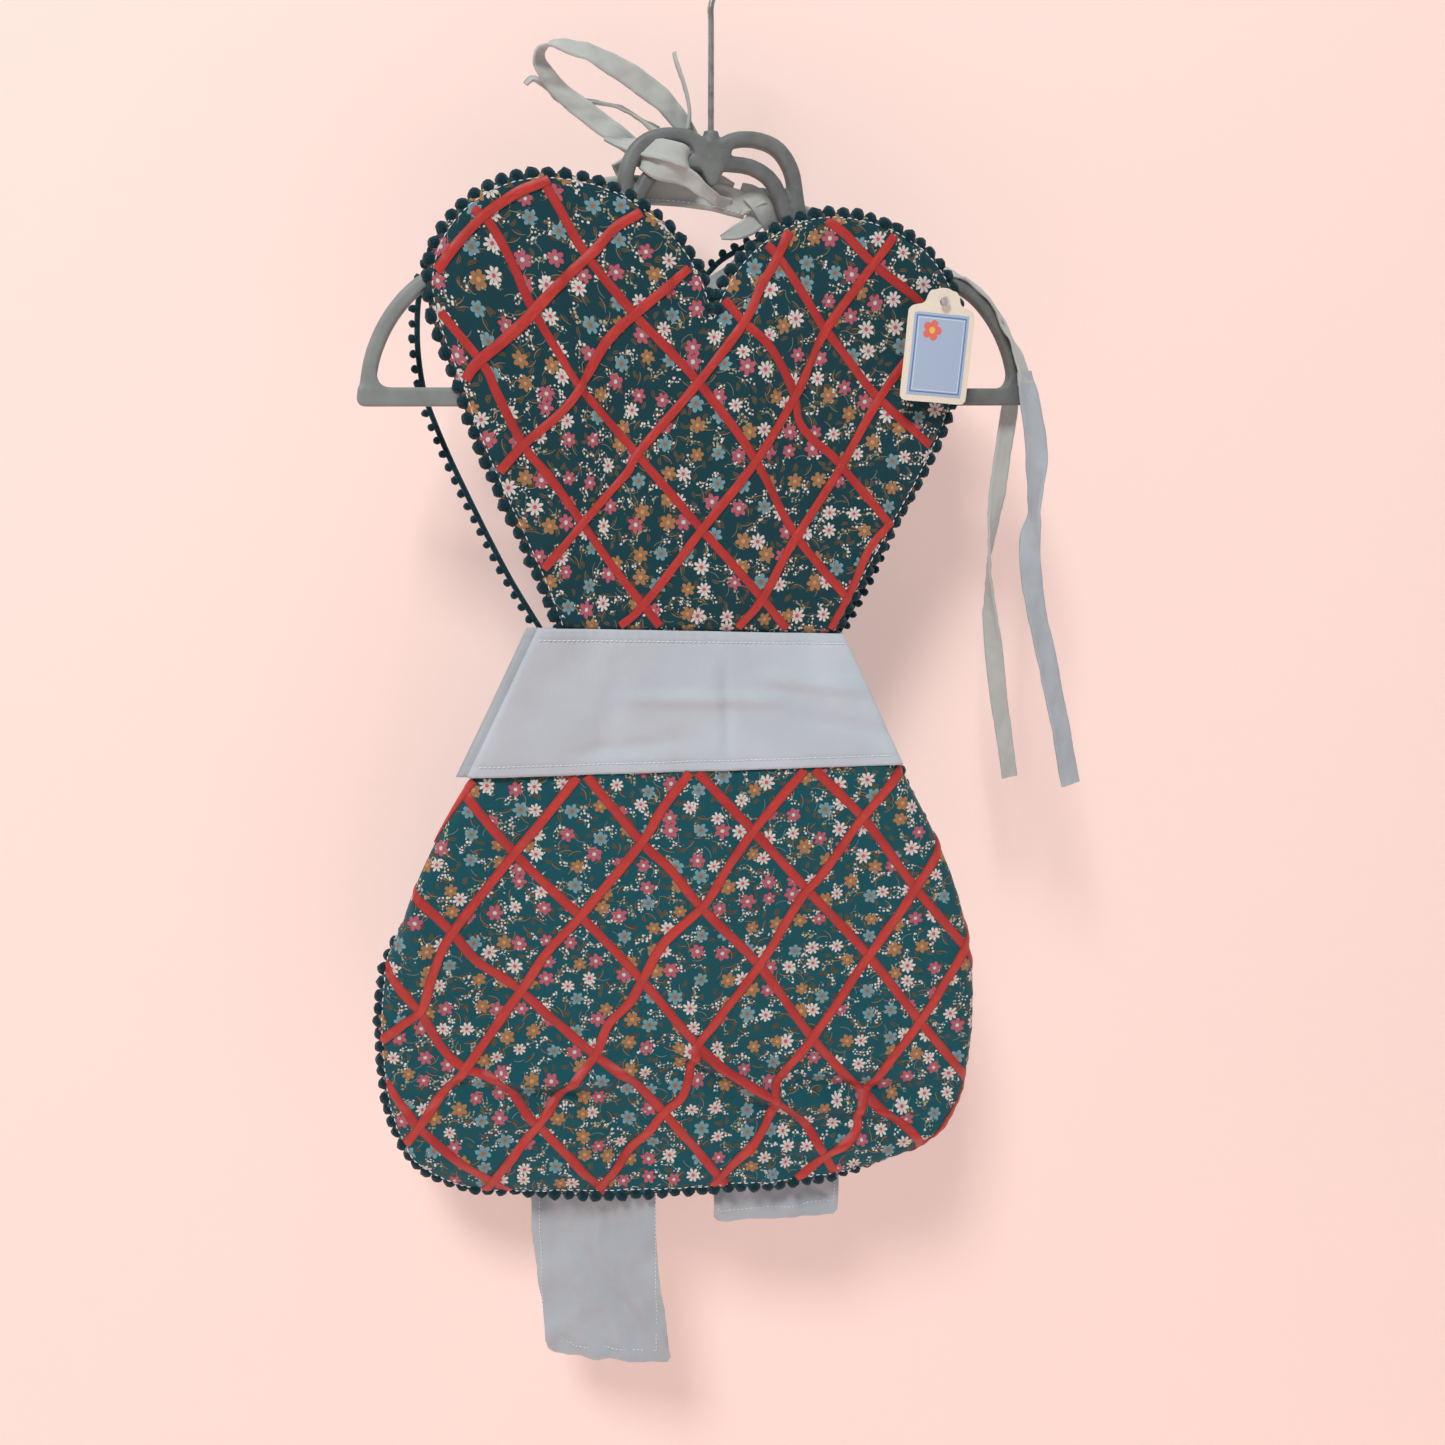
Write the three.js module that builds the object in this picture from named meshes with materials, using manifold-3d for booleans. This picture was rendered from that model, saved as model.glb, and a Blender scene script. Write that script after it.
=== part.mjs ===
// Halter apron on a plastic clothes hanger, in millimetres, +Z up.
// The origin is the inside top of the hook, where it sits on a rail.
// The front of the apron faces -Y, and +X is to the right of someone facing it.
import * as THREE from 'three';
import { mergeVertices } from 'three/addons/utils/BufferGeometryUtils.js';
import Module from 'manifold-3d';

const wasm = await Module();
wasm.setup();

// ---------- driving dimensions ----------
const GAP = 0.3; // between pieces that touch

const WIRE_R = 1.9; // hook wire
const HOOK_R = 20; // hook bend, to the middle of the wire
const HOOK_OPEN_DEG = -30; // where the bend leaves the stem side
const HOOK_END_DEG = 205; // where the bend ends
const STEM_TOP = -63; // top of the straight stem
const COLLAR_R = WIRE_R + 1.5; // crimped collar that keeps the hook in the boss
const COLLAR_H = 4;
const RUNNING = 0.35; // clearance round the turning stem
const BORE_DEPTH = 19; // from the top of the boss to the stem's lower end

const BAR_DROP = 285; // rail seat to the middle of the hanger's bar
const HANGER_HALF = 207.5; // half width, to the middle of the end arcs
const HANGER_T = 10; // depth, front to back
const HANGER_W = 11; // face width of bar and arms
const LOBE_W = 9; // face width of the heart's lobes
const HEART_TOP = 150; // lobe tops above the bar, middle of the section
const BOSS_TOP = 154; // boss top above the bar
const BOSS_R = WIRE_R + 2.5;
const WEDGE_TIP = 122.5; // bottom of the heart's point above the bar
const CORNER_FILLET = 9; // where the bar meets the end arcs

const SHEET_T = 1.2; // print cotton panel with its seam allowance
const LINING_T = 0.8;
const RIBBON_T = 0.7;
const RIBBON_W = 7; // satin ribbon
const TRIM_W = 7; // width of the pompom trim beyond the cloth edge
const TRIM_T = 6;
const BACK_GAP = 1.2; // from the hanger's face to the lining

const HANG_Z = 60; // apron's own zero above the bar
const ROLL = THREE.MathUtils.degToRad(3.5); // the bib hangs a little askew
const BIB_HALF = 165; // half width of the bib
const BIB_TOP = 52; // lobe tops above the apron's zero
const BIB_LOBE_X = 78; // lobe tops from the centre
const BIB_WIDEST = -25; // height of the widest line
const NOTCH_Z = -15; // bottom of the neckline's V
const WAIST_HALF = 93.5; // half width where bib meets waistband
const WAIST_Z = -205; // that seam below the apron's zero

// the ribbon lattices: a diamond's width and height, and one crossing
const BIB_LATTICE = { width: 76, height: 90, x: -6, z: -52 };
const SKIRT_LATTICE = { width: 74, height: 94, x: 5, z: 0 };

const SKIRT_YAW = THREE.MathUtils.degToRad(-8.5); // the skirt turns its right side forward
const SKIRT_X = -17;
const SKIRT_TOP = -235; // waistband seam, from the bar
const SKIRT_TOP_HALF = 141;
const SKIRT_HALF = 202; // half width at the widest
const SKIRT_WIDEST = -182; // widest line below the seam
const SKIRT_LENGTH = 302;
const SKIRT_CORNER_X = 120; // where the rounded corner meets the hem

const STRAP_W = 16; // neck strap width
const STRAP_T = 1.6;
const STRAP_Y = HANGER_T / 2 + 4; // front of the neck strap, behind the hanger
const TIE_W = 92; // waist tie width
const TIE_T = 2.4; // two layers of cotton
const TIE_ROOT = 70; // the part that stays behind the skirt's top
const TIE_DROP = 3; // tie's bending line below the waistband seam
const TIE_LEFT = { x: -78, y: 19, yawDeg: -24, length: 440 };
const TIE_RIGHT = { x: 48, y: -1, yawDeg: -8.5, length: 336 };

const YOKE_Y = 30; // how far back the back yoke stands at the shoulders
const YOKE_R = 2; // piped edge
const TAB_X = 74; // tabs that tie the yoke to the neck strap
const TAB_W = 14;
const TAB_CLEAR = 2.5; // the right tab stays clear of the strap as the apron swings

const TAG_W = 45;
const TAG_H = 70;
const TAG_T = 0.8;
const TAG_HOLE_R = 2.5;
const TAG_X = 144; // pin, from the centre and above the bar
const TAG_Z = 57.5;
const PIN_R = 0.6;

// the apron's layers, worked out from the hanger's face
const LINING_BACK = -(HANGER_T / 2 + BACK_GAP);
const PANEL_BACK = LINING_BACK - LINING_T - GAP;
const RIBBON_BACK = PANEL_BACK - SHEET_T - GAP;
const TAG_PIN_LENGTH = 14;

// ---------- materials ----------
const finish = (colour, roughness, metalness = 0) =>
  new THREE.MeshStandardMaterial({ color: colour, roughness, metalness });
const chrome = finish(0xc8cac8, 0.25, 1);
const plastic = finish(0x5f6461, 0.5);
const print = finish(0x163c48, 0.9);
const greyCotton = finish(0xb2b8c6, 0.9);
const satin = finish(0xcd3e34, 0.45);
const pompom = finish(0x0a2d37, 1);
const card = finish(0xe9e6da, 0.8);
const label = finish(0xaabed7, 0.7);
const clear = finish(0xe8ecec, 0.3);

// ---------- helpers ----------
const root = new THREE.Group();
const v2 = (x, y) => new THREE.Vector2(x, y);
const v3 = (x, y, z) => new THREE.Vector3(x, y, z);

function addMesh(parent, name, geometry, material) {
  const mesh = new THREE.Mesh(geometry, material.clone());
  mesh.name = name;
  parent.add(mesh);
  return mesh;
}

// a closed geometry as a manifold solid
function toSolid(geometry) {
  const bare = geometry.clone();
  bare.deleteAttribute('normal');
  bare.deleteAttribute('uv');
  const merged = mergeVertices(bare, 1e-4);
  return new wasm.Manifold(new wasm.Mesh({
    numProp: 3,
    vertProperties: Float32Array.from(merged.attributes.position.array),
    triVerts: Uint32Array.from(merged.index.array),
  }));
}

function toGeometry(solid) {
  const mesh = solid.getMesh();
  const geometry = new THREE.BufferGeometry();
  geometry.setAttribute('position', new THREE.BufferAttribute(mesh.vertProperties, 3));
  geometry.setIndex(new THREE.BufferAttribute(mesh.triVerts, 1));
  return geometry;
}

const union = (solids) => solids.reduce((sum, solid) => sum.add(solid));

// an outline in X and Z, made solid from y = front back to y = front + depth
function slab(shape, front, depth, curveSegments = 12) {
  const geometry = new THREE.ExtrudeGeometry(shape, { depth, bevelEnabled: false, curveSegments });
  geometry.rotateX(Math.PI / 2);
  geometry.translate(0, front + depth, 0);
  return geometry;
}

// rounded rectangle section, across the path and through it
function barSection(across, through, corner = 2) {
  const x = through / 2;
  const y = across / 2;
  return new THREE.Shape([
    v2(-x + corner, -y), v2(x - corner, -y), v2(x, -y + corner), v2(x, y - corner),
    v2(x - corner, y), v2(-x + corner, y), v2(-x, y - corner), v2(-x, -y + corner),
  ]);
}

function roundSection(radius, sides) {
  const points = [];
  for (let i = 0; i < sides; i += 1) {
    const angle = (2 * Math.PI * i) / sides;
    points.push(v2(radius * Math.cos(angle), radius * Math.sin(angle)));
  }
  return new THREE.Shape(points);
}

function sweep(section, path, steps) {
  return new THREE.ExtrudeGeometry(section, { steps, extrudePath: path, bevelEnabled: false });
}

const planarPath = (points) =>
  new THREE.CatmullRomCurve3(points.map(([x, z]) => v3(x, 0, z)), false, 'centripetal');

// a flat strap: the outline of a band that follows a curve in X and Z
function bandShape(points, width, steps) {
  const curve = new THREE.SplineCurve(points.map(([x, z]) => v2(x, z)));
  const left = [];
  const right = [];
  for (let i = 0; i <= steps; i += 1) {
    const place = curve.getPoint(i / steps);
    const along = curve.getTangent(i / steps);
    const side = v2(-along.y, along.x).multiplyScalar(width / 2);
    left.push(place.clone().add(side));
    right.push(place.clone().sub(side));
  }
  return new THREE.Shape([...left, ...right.reverse()]);
}

// ---------- hook ----------
class HookBend extends THREE.Curve {
  getPoint(t) {
    const angle = THREE.MathUtils.degToRad(HOOK_OPEN_DEG + t * (HOOK_END_DEG - HOOK_OPEN_DEG));
    return v3(HOOK_R * Math.cos(angle), 0, WIRE_R - HOOK_R + HOOK_R * Math.sin(angle));
  }
}

function buildHook() {
  const stemBottom = BOSS_TOP - BAR_DROP - BORE_DEPTH;
  const bend = new HookBend();
  const start = bend.getPoint(0);
  const along = bend.getTangent(0).multiplyScalar(14);
  const path = new THREE.CurvePath();
  path.add(new THREE.LineCurve3(v3(0, 0, stemBottom), v3(0, 0, STEM_TOP)));
  path.add(new THREE.CubicBezierCurve3(
    v3(0, 0, STEM_TOP), v3(0, 0, STEM_TOP + 14), start.clone().sub(along), start));
  path.add(bend);
  const group = new THREE.Group();
  addMesh(group, 'hook_wire', sweep(roundSection(WIRE_R, 10), path, 80), chrome);
  const inner = WIRE_R + GAP;
  const collar = new THREE.LatheGeometry([
    v2(inner, 0), v2(COLLAR_R, 0), v2(COLLAR_R, COLLAR_H), v2(inner, COLLAR_H), v2(inner, 0),
  ], 16);
  collar.rotateX(Math.PI / 2);
  collar.translate(0, 0, stemBottom);
  addMesh(group, 'hook_collar', collar, chrome);
  return group;
}

// ---------- hanger, measured from the middle of its bar ----------
const LOBE_PATH = [[2, 142], [12, 148.5], [27, HEART_TOP], [41, 145.5], [50, 134], [53.5, 118], [57, 98]];
// the shoulder's points are shares of the half width, so that it grows with the hanger
const SHOULDER = [
  [0.318, 94], [0.53, 84], [0.723, 73], [0.829, 64.5], [0.916, 47], [0.9735, 25], [1, 2],
];
const ARM_PATH = [
  [7, 136], [25, 134.5], [37, 128], [44, 117], [50, 103],
  ...SHOULDER.map(([share, z]) => [share * HANGER_HALF, z]),
];
const STRAP_ON_ARM = [7, 11]; // the stretch of the arm that the shoulder strap lies on

function buildHanger() {
  const parts = [];
  for (const side of [-1, 1]) {
    const mirror = ([x, z]) => [side * x, z];
    parts.push(toSolid(sweep(barSection(LOBE_W, HANGER_T), planarPath(LOBE_PATH.map(mirror)), 26)));
    parts.push(toSolid(sweep(barSection(LOBE_W, HANGER_T - 1), planarPath(ARM_PATH.map(mirror)), 44)));
  }
  const corner = 5;
  const half = HANGER_HALF + HANGER_W / 2;
  const edge = HANGER_W / 2;
  const bar = new THREE.Shape();
  bar.moveTo(-half + corner, -edge);
  bar.lineTo(half - corner, -edge);
  bar.quadraticCurveTo(half, -edge, half, -edge + corner);
  bar.lineTo(half - 1, edge);
  bar.lineTo(-half + 1, edge);
  bar.lineTo(-half, -edge + corner);
  bar.quadraticCurveTo(-half, -edge, -half + corner, -edge);
  parts.push(toSolid(slab(bar, -HANGER_T / 2, HANGER_T)));
  for (const side of [-1, 1]) {
    const inside = HANGER_HALF - LOBE_W / 2;
    const fillet = new THREE.Shape();
    fillet.moveTo(side * (inside - CORNER_FILLET), edge - 1);
    fillet.lineTo(side * (inside - CORNER_FILLET), edge);
    fillet.quadraticCurveTo(
      side * (inside - 1.5), edge, side * (inside - 2), edge + CORNER_FILLET);
    fillet.lineTo(side * HANGER_HALF, edge + CORNER_FILLET);
    fillet.lineTo(side * HANGER_HALF, edge - 1);
    parts.push(toSolid(slab(fillet, (1 - HANGER_T) / 2, HANGER_T - 1, 5)));
  }
  const wedge = new THREE.Shape();
  wedge.moveTo(-2.6, WEDGE_TIP + 1);
  wedge.quadraticCurveTo(0, WEDGE_TIP - 1, 2.6, WEDGE_TIP + 1);
  wedge.quadraticCurveTo(8, 132, 13, 145);
  wedge.lineTo(4, 147.5);
  wedge.lineTo(-4, 147.5);
  wedge.lineTo(-13, 145);
  wedge.quadraticCurveTo(-8, 132, -2.6, WEDGE_TIP + 1);
  parts.push(toSolid(slab(wedge, -HANGER_T / 2, HANGER_T, 6)));
  const boss = new THREE.CylinderGeometry(BOSS_R, BOSS_R + 0.8, 12, 20);
  boss.rotateX(Math.PI / 2);
  boss.translate(0, 0, BOSS_TOP - 6);
  parts.push(toSolid(boss));

  // the stem's bore, and the window at the back that lets the collar in
  const bore = new THREE.CylinderGeometry(WIRE_R + RUNNING, WIRE_R + RUNNING, BORE_DEPTH, 24);
  bore.rotateX(Math.PI / 2);
  bore.translate(0, 0, BOSS_TOP + 1 - BORE_DEPTH / 2);
  const collarRoom = COLLAR_R + RUNNING;
  const collarWindow = new THREE.BoxGeometry(
    2 * collarRoom, HANGER_T / 2 + collarRoom + 1, COLLAR_H + 2 * RUNNING);
  collarWindow.translate(
    0, (HANGER_T / 2 + 1 - collarRoom) / 2, BOSS_TOP - BORE_DEPTH + COLLAR_H / 2);
  const frame = union(parts).subtract(toSolid(bore)).subtract(toSolid(collarWindow));
  const group = new THREE.Group();
  addMesh(group, 'hanger_frame', toGeometry(frame), plastic);
  return group;
}

// ---------- apron outlines ----------
// Half the bib's edge, from the neckline's V to the waist seam, let out by extra.
function bibOutline(extra, steps = 14) {
  const curves = [
    new THREE.CubicBezierCurve(v2(0, NOTCH_Z), v2(8, NOTCH_Z + 35),
      v2(BIB_LOBE_X - 38, BIB_TOP), v2(BIB_LOBE_X, BIB_TOP)),
    new THREE.CubicBezierCurve(v2(BIB_LOBE_X, BIB_TOP), v2(BIB_LOBE_X + 48, BIB_TOP),
      v2(BIB_HALF, BIB_WIDEST + 51), v2(BIB_HALF, BIB_WIDEST)),
    new THREE.CubicBezierCurve(v2(BIB_HALF, BIB_WIDEST), v2(BIB_HALF, BIB_WIDEST - 53),
      v2(WAIST_HALF + 27, WAIST_Z + 65), v2(WAIST_HALF, WAIST_Z)),
  ];
  return outlineFrom(curves, extra, steps);
}

// Half the skirt's edge, from the waistband seam to the middle of the hem.
function skirtOutline(extra, steps = 14) {
  const curves = [
    new THREE.CubicBezierCurve(v2(SKIRT_TOP_HALF, 0), v2(SKIRT_TOP_HALF + 20, -36),
      v2(SKIRT_HALF, SKIRT_WIDEST + 86), v2(SKIRT_HALF, SKIRT_WIDEST)),
    new THREE.CubicBezierCurve(v2(SKIRT_HALF, SKIRT_WIDEST), v2(SKIRT_HALF, SKIRT_WIDEST - 78),
      v2(SKIRT_CORNER_X + 64, 12 - SKIRT_LENGTH), v2(SKIRT_CORNER_X, 7 - SKIRT_LENGTH)),
    new THREE.CubicBezierCurve(v2(SKIRT_CORNER_X, 7 - SKIRT_LENGTH),
      v2(SKIRT_CORNER_X - 35, 1.5 - SKIRT_LENGTH), v2(40, -SKIRT_LENGTH), v2(0, -SKIRT_LENGTH)),
  ];
  return outlineFrom(curves, extra, steps);
}

// Points along the half outline, moved outwards by extra.
function outlineFrom(curves, extra, steps) {
  const points = [];
  curves.forEach((curve, index) => {
    for (let i = index === 0 ? 0 : 1; i <= steps; i += 1) {
      const along = curve.getTangent(i / steps);
      const out = v2(-along.y, along.x).multiplyScalar(extra);
      const upright = index === 0 && i === 0 ? v2(0, extra) : out;
      points.push(curve.getPoint(i / steps).add(upright));
    }
  });
  return points;
}

// The whole outline, from a half that runs down the right-hand side.
function mirrored(half) {
  const left = half.map((point) => v2(-point.x, point.y)).reverse();
  const closesTop = Math.abs(half[0].x) < 0.01;
  const closesBottom = Math.abs(half[half.length - 1].x) < 0.01;
  const rest = left.slice(closesBottom ? 1 : 0, closesTop ? -1 : undefined);
  return new THREE.Shape([...half, ...rest]);
}

// The trim's strip beside the cloth edge, from just outside it to TRIM_W away.
function trimGeometry(outline, isOpenAtTop) {
  const outer = toSolid(slab(mirrored(outline(TRIM_W)), LINING_BACK - TRIM_T, TRIM_T));
  const inner = toSolid(slab(mirrored(outline(GAP)), LINING_BACK - TRIM_T - 1, TRIM_T + 2));
  const strip = outer.subtract(inner);
  const seam = isOpenAtTop ? SKIRT_LENGTH : -WAIST_Z;
  const cut = new THREE.BoxGeometry(900, 60, 40);
  cut.translate(0, 0, isOpenAtTop ? 20 - 2 * GAP : -seam - 20 + 2 * GAP);
  return toGeometry(strip.subtract(toSolid(cut)));
}

// Ribbons laid on the cloth in two slanting sets, trimmed just inside its edge. A stub in a
// corner that meets no other ribbon is left out.
function latticeGeometry(outline, lattice, sets) {
  const slant = Math.atan2(lattice.height, lattice.width);
  const pitch = lattice.height * Math.cos(slant);
  const ribbons = [];
  for (const lean of [-1, 1]) {
    for (let i = -sets; i <= sets; i += 1) {
      const ribbon = new THREE.BoxGeometry(1100, RIBBON_T, RIBBON_W);
      ribbon.translate(0, RIBBON_BACK - RIBBON_T / 2, i * pitch);
      ribbon.rotateY(-lean * slant);
      ribbon.translate(lattice.x, 0, lattice.z);
      ribbons.push(toSolid(ribbon));
    }
  }
  const inside = toSolid(slab(mirrored(outline(-3)), RIBBON_BACK - 5, 10));
  const nets = union(ribbons).intersect(inside).decompose();
  return toGeometry(nets.reduce((net, stub) => (stub.volume() > net.volume() ? stub : net)));
}

// ---------- bib ----------
function buildBib(bib) {
  addMesh(bib, 'bib_panel', slab(mirrored(bibOutline(0)), PANEL_BACK - SHEET_T, SHEET_T), print);
  addMesh(bib, 'bib_lining', slab(mirrored(bibOutline(0)), LINING_BACK - LINING_T, LINING_T), greyCotton);
  addMesh(bib, 'bib_trim', trimGeometry(bibOutline, false), pompom);
  addMesh(bib, 'bib_ribbons', latticeGeometry(bibOutline, BIB_LATTICE, 4), satin);
}

// ---------- skirt ----------
function buildSkirt(skirt) {
  const below = (extra) => skirtOutline(extra).map((point) => v2(point.x, point.y - GAP));
  addMesh(skirt, 'skirt_panel', slab(mirrored(below(0)), PANEL_BACK - SHEET_T, SHEET_T), print);
  addMesh(skirt, 'skirt_lining', slab(mirrored(below(0)), LINING_BACK - LINING_T, LINING_T), greyCotton);
  addMesh(skirt, 'skirt_trim', trimGeometry(skirtOutline, true), pompom);
  addMesh(skirt, 'skirt_ribbons', latticeGeometry(below, SKIRT_LATTICE, 6), satin);
}

// ---------- waistband: a board whose two seams turn with the bib and the skirt ----------
function buildWaistband(parent, bib, skirt) {
  const corners = [
    bib.localToWorld(v3(-WAIST_HALF - TRIM_W, 0, WAIST_Z - GAP)),
    bib.localToWorld(v3(WAIST_HALF + TRIM_W, 0, WAIST_Z - GAP)),
    skirt.localToWorld(v3(-SKIRT_TOP_HALF - 1, 0, GAP)),
    skirt.localToWorld(v3(SKIRT_TOP_HALF + 1, 0, GAP)),
  ];
  const board = (front, depth) => {
    const geometry = new THREE.BoxGeometry(1, depth, 1, 10, 1, 5);
    const place = geometry.attributes.position;
    for (let i = 0; i < place.count; i += 1) {
      const across = place.getX(i) + 0.5;
      const up = place.getZ(i) + 0.5;
      const top = corners[0].clone().lerp(corners[1], across);
      const spot = corners[2].clone().lerp(corners[3], across).lerp(top, up);
      place.setXYZ(i, spot.x, spot.y + front + depth / 2 + place.getY(i), spot.z);
    }
    return geometry;
  };
  addMesh(parent, 'waistband', board(PANEL_BACK - SHEET_T, SHEET_T), greyCotton);
  addMesh(parent, 'waistband_facing', board(LINING_BACK - LINING_T, LINING_T), greyCotton);
}

// ---------- back yoke: a piped, pompom-edged band that leans back behind the hanger ----------
const YOKE_FOOT_Y = LINING_BACK + YOKE_R + 0.7;
const YOKE_PATH = [
  [98, YOKE_FOOT_Y, -208], [119, 7, -172], [145, 20, -122], [160, 26, -90], [169, 29, -65], [173, YOKE_Y, -33],
  [170, YOKE_Y, -2], [154, YOKE_Y, 25], [120, YOKE_Y, 45], [82, YOKE_Y, 50], [46, YOKE_Y, 42],
  [17, YOKE_Y, 27], [1.5 + YOKE_R, YOKE_Y, 14],
];

function buildYoke(parent) {
  for (const [side, name] of [[-1, 'left'], [1, 'right']]) {
    const path = new THREE.CatmullRomCurve3(YOKE_PATH.map(([x, y, z]) => v3(side * x, y, z)));
    addMesh(parent, `yoke_band_${name}`, sweep(roundSection(YOKE_R, 8), path, 44), pompom);
    const tabFront = STRAP_Y + STRAP_T + (side > 0 ? TAB_CLEAR : GAP);
    const tabBack = YOKE_Y - YOKE_R - GAP;
    const tab = new THREE.BoxGeometry(TAB_W, tabBack - tabFront, STRAP_T);
    tab.translate(side * TAB_X, (tabFront + tabBack) / 2, BIB_TOP - 2.5);
    addMesh(parent, `yoke_tab_${name}`, tab, greyCotton);
  }
  const facing = new THREE.Shape([
    v2(-24, 27), v2(-8, 15), v2(0, 9), v2(8, 15), v2(24, 27), v2(20, -2), v2(0, -14), v2(-20, -2),
  ]);
  addMesh(parent, 'yoke_facing', slab(facing, YOKE_Y - YOKE_R - GAP - LINING_T, LINING_T), greyCotton);
}

// ---------- neck strap, its knot and bow ----------
function flatStrap(parent, name, points, front, steps = 16, width = STRAP_W) {
  return addMesh(parent, name, slab(bandShape(points, width, steps), front, STRAP_T), greyCotton);
}

function buildNeckStrap(parent) {
  flatStrap(parent, 'neck_strap_left', [[-112, 99], [-70, 118], [-30, 122], [21, 117]], STRAP_Y);
  const knot = new THREE.SphereGeometry(1, 14, 10);
  knot.scale(11, 5.5, 9.5);
  knot.translate(34, STRAP_Y + 5, 115);
  addMesh(parent, 'neck_knot', knot, greyCotton);
  flatStrap(parent, 'neck_strap_right', [[47, 111], [90, 99], [138, 87]], STRAP_Y);
  flatStrap(parent, 'bow_loop_front', [
    [-9, 150], [-25, 164], [-58, 187], [-78, 199], [-92, 202], [-98, 196], [-84, 180], [-55, 157], [-43, 144],
  ], STRAP_Y + 5, 40, 9);
  flatStrap(parent, 'bow_loop_back', [[-104, 181], [-78, 173.5], [-48, 166], [-26, 155]], STRAP_Y + 9, 12, 8);
  flatStrap(parent, 'bow_end', [[-58, 147], [-36, 140], [-8, 136], [18, 127]], STRAP_Y + 2.5, 12, 13);
  flatStrap(parent, 'bow_end_upright', [[-19, 197], [-13, 181], [-10, 158]], STRAP_Y + 1, 8, 5);
  flatStrap(parent, 'strap_point', [[26, 101], [18, 98], [10, 95.5]], STRAP_Y, 4, 6);
}

// The strap that lies on the hanger's right-hand shoulder, with its width front to back.
function buildShoulderStrap(parent) {
  const shoulder = new THREE.SplineCurve(ARM_PATH.slice(...STRAP_ON_ARM).map(([x, z]) => v2(x, z)));
  const lift = HANGER_W / 2 + GAP;
  const inner = [];
  const outer = [];
  for (let i = 0; i <= 16; i += 1) {
    const place = shoulder.getPoint(i / 16);
    const along = shoulder.getTangent(i / 16);
    const up = v2(-along.y, along.x);
    inner.push(place.clone().addScaledVector(up, lift));
    outer.push(place.clone().addScaledVector(up, lift + STRAP_T));
  }
  const band = new THREE.Shape([...outer, ...inner.reverse()]);
  addMesh(parent, 'shoulder_strap', slab(band, LINING_BACK + GAP, STRAP_W), greyCotton);
}

// the hanging tails' middle lines, measured from the hanger's end and its bar
const TAIL_OUTER = [[-1.5, 8], [5.5, -10], [11.5, -40], [11.5, -70], [9.5, -97], [15.5, -135],
  [26.5, -174], [38.5, -217], [50.5, -263]];
const TAIL_INNER = [[0.5, -9], [-1.5, -30], [-5.5, -68], [-8.5, -105], [-7.5, -135], [-3.5, -163],
  [3.5, -206], [9.5, -235], [14.5, -262]];

function buildTails(parent) {
  const fromEnd = ([x, z]) => [HANGER_HALF + x, z];
  const front = -HANGER_T / 2 - 6 - STRAP_T;
  flatStrap(parent, 'neck_tail_outer', TAIL_OUTER.map(fromEnd), front, 30, STRAP_W - 2);
  flatStrap(parent, 'neck_tail_inner', TAIL_INNER.map(fromEnd), STRAP_Y, 30, STRAP_W - 4);
}

// ---------- waist ties ----------
function tieShape(length) {
  const half = TIE_W / 2;
  const corner = 4;
  const shape = new THREE.Shape();
  shape.moveTo(-half, 0);
  shape.lineTo(-half, -length + corner);
  shape.quadraticCurveTo(-half, -length, -half + corner, -length);
  shape.lineTo(half - corner, -length);
  shape.quadraticCurveTo(half, -length, half, -length + corner);
  shape.lineTo(half, 0);
  return shape;
}

// The root stands half a thickness above the bending line, so that the tie's top edge can turn.
function buildTie(parent, side, tie) {
  const group = new THREE.Group();
  group.position.set(tie.x, tie.y, SKIRT_TOP - TIE_DROP);
  group.rotation.z = THREE.MathUtils.degToRad(tie.yawDeg);
  const rootPiece = new THREE.BoxGeometry(TIE_W, TIE_T, TIE_ROOT);
  rootPiece.translate(0, 0, (TIE_ROOT + TIE_T) / 2);
  addMesh(group, `waist_tie_${side}_root`, rootPiece, greyCotton);
  addMesh(group, `waist_tie_${side}`, slab(tieShape(tie.length), -TIE_T / 2, TIE_T, 4), greyCotton);
  parent.add(group);
}

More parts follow.
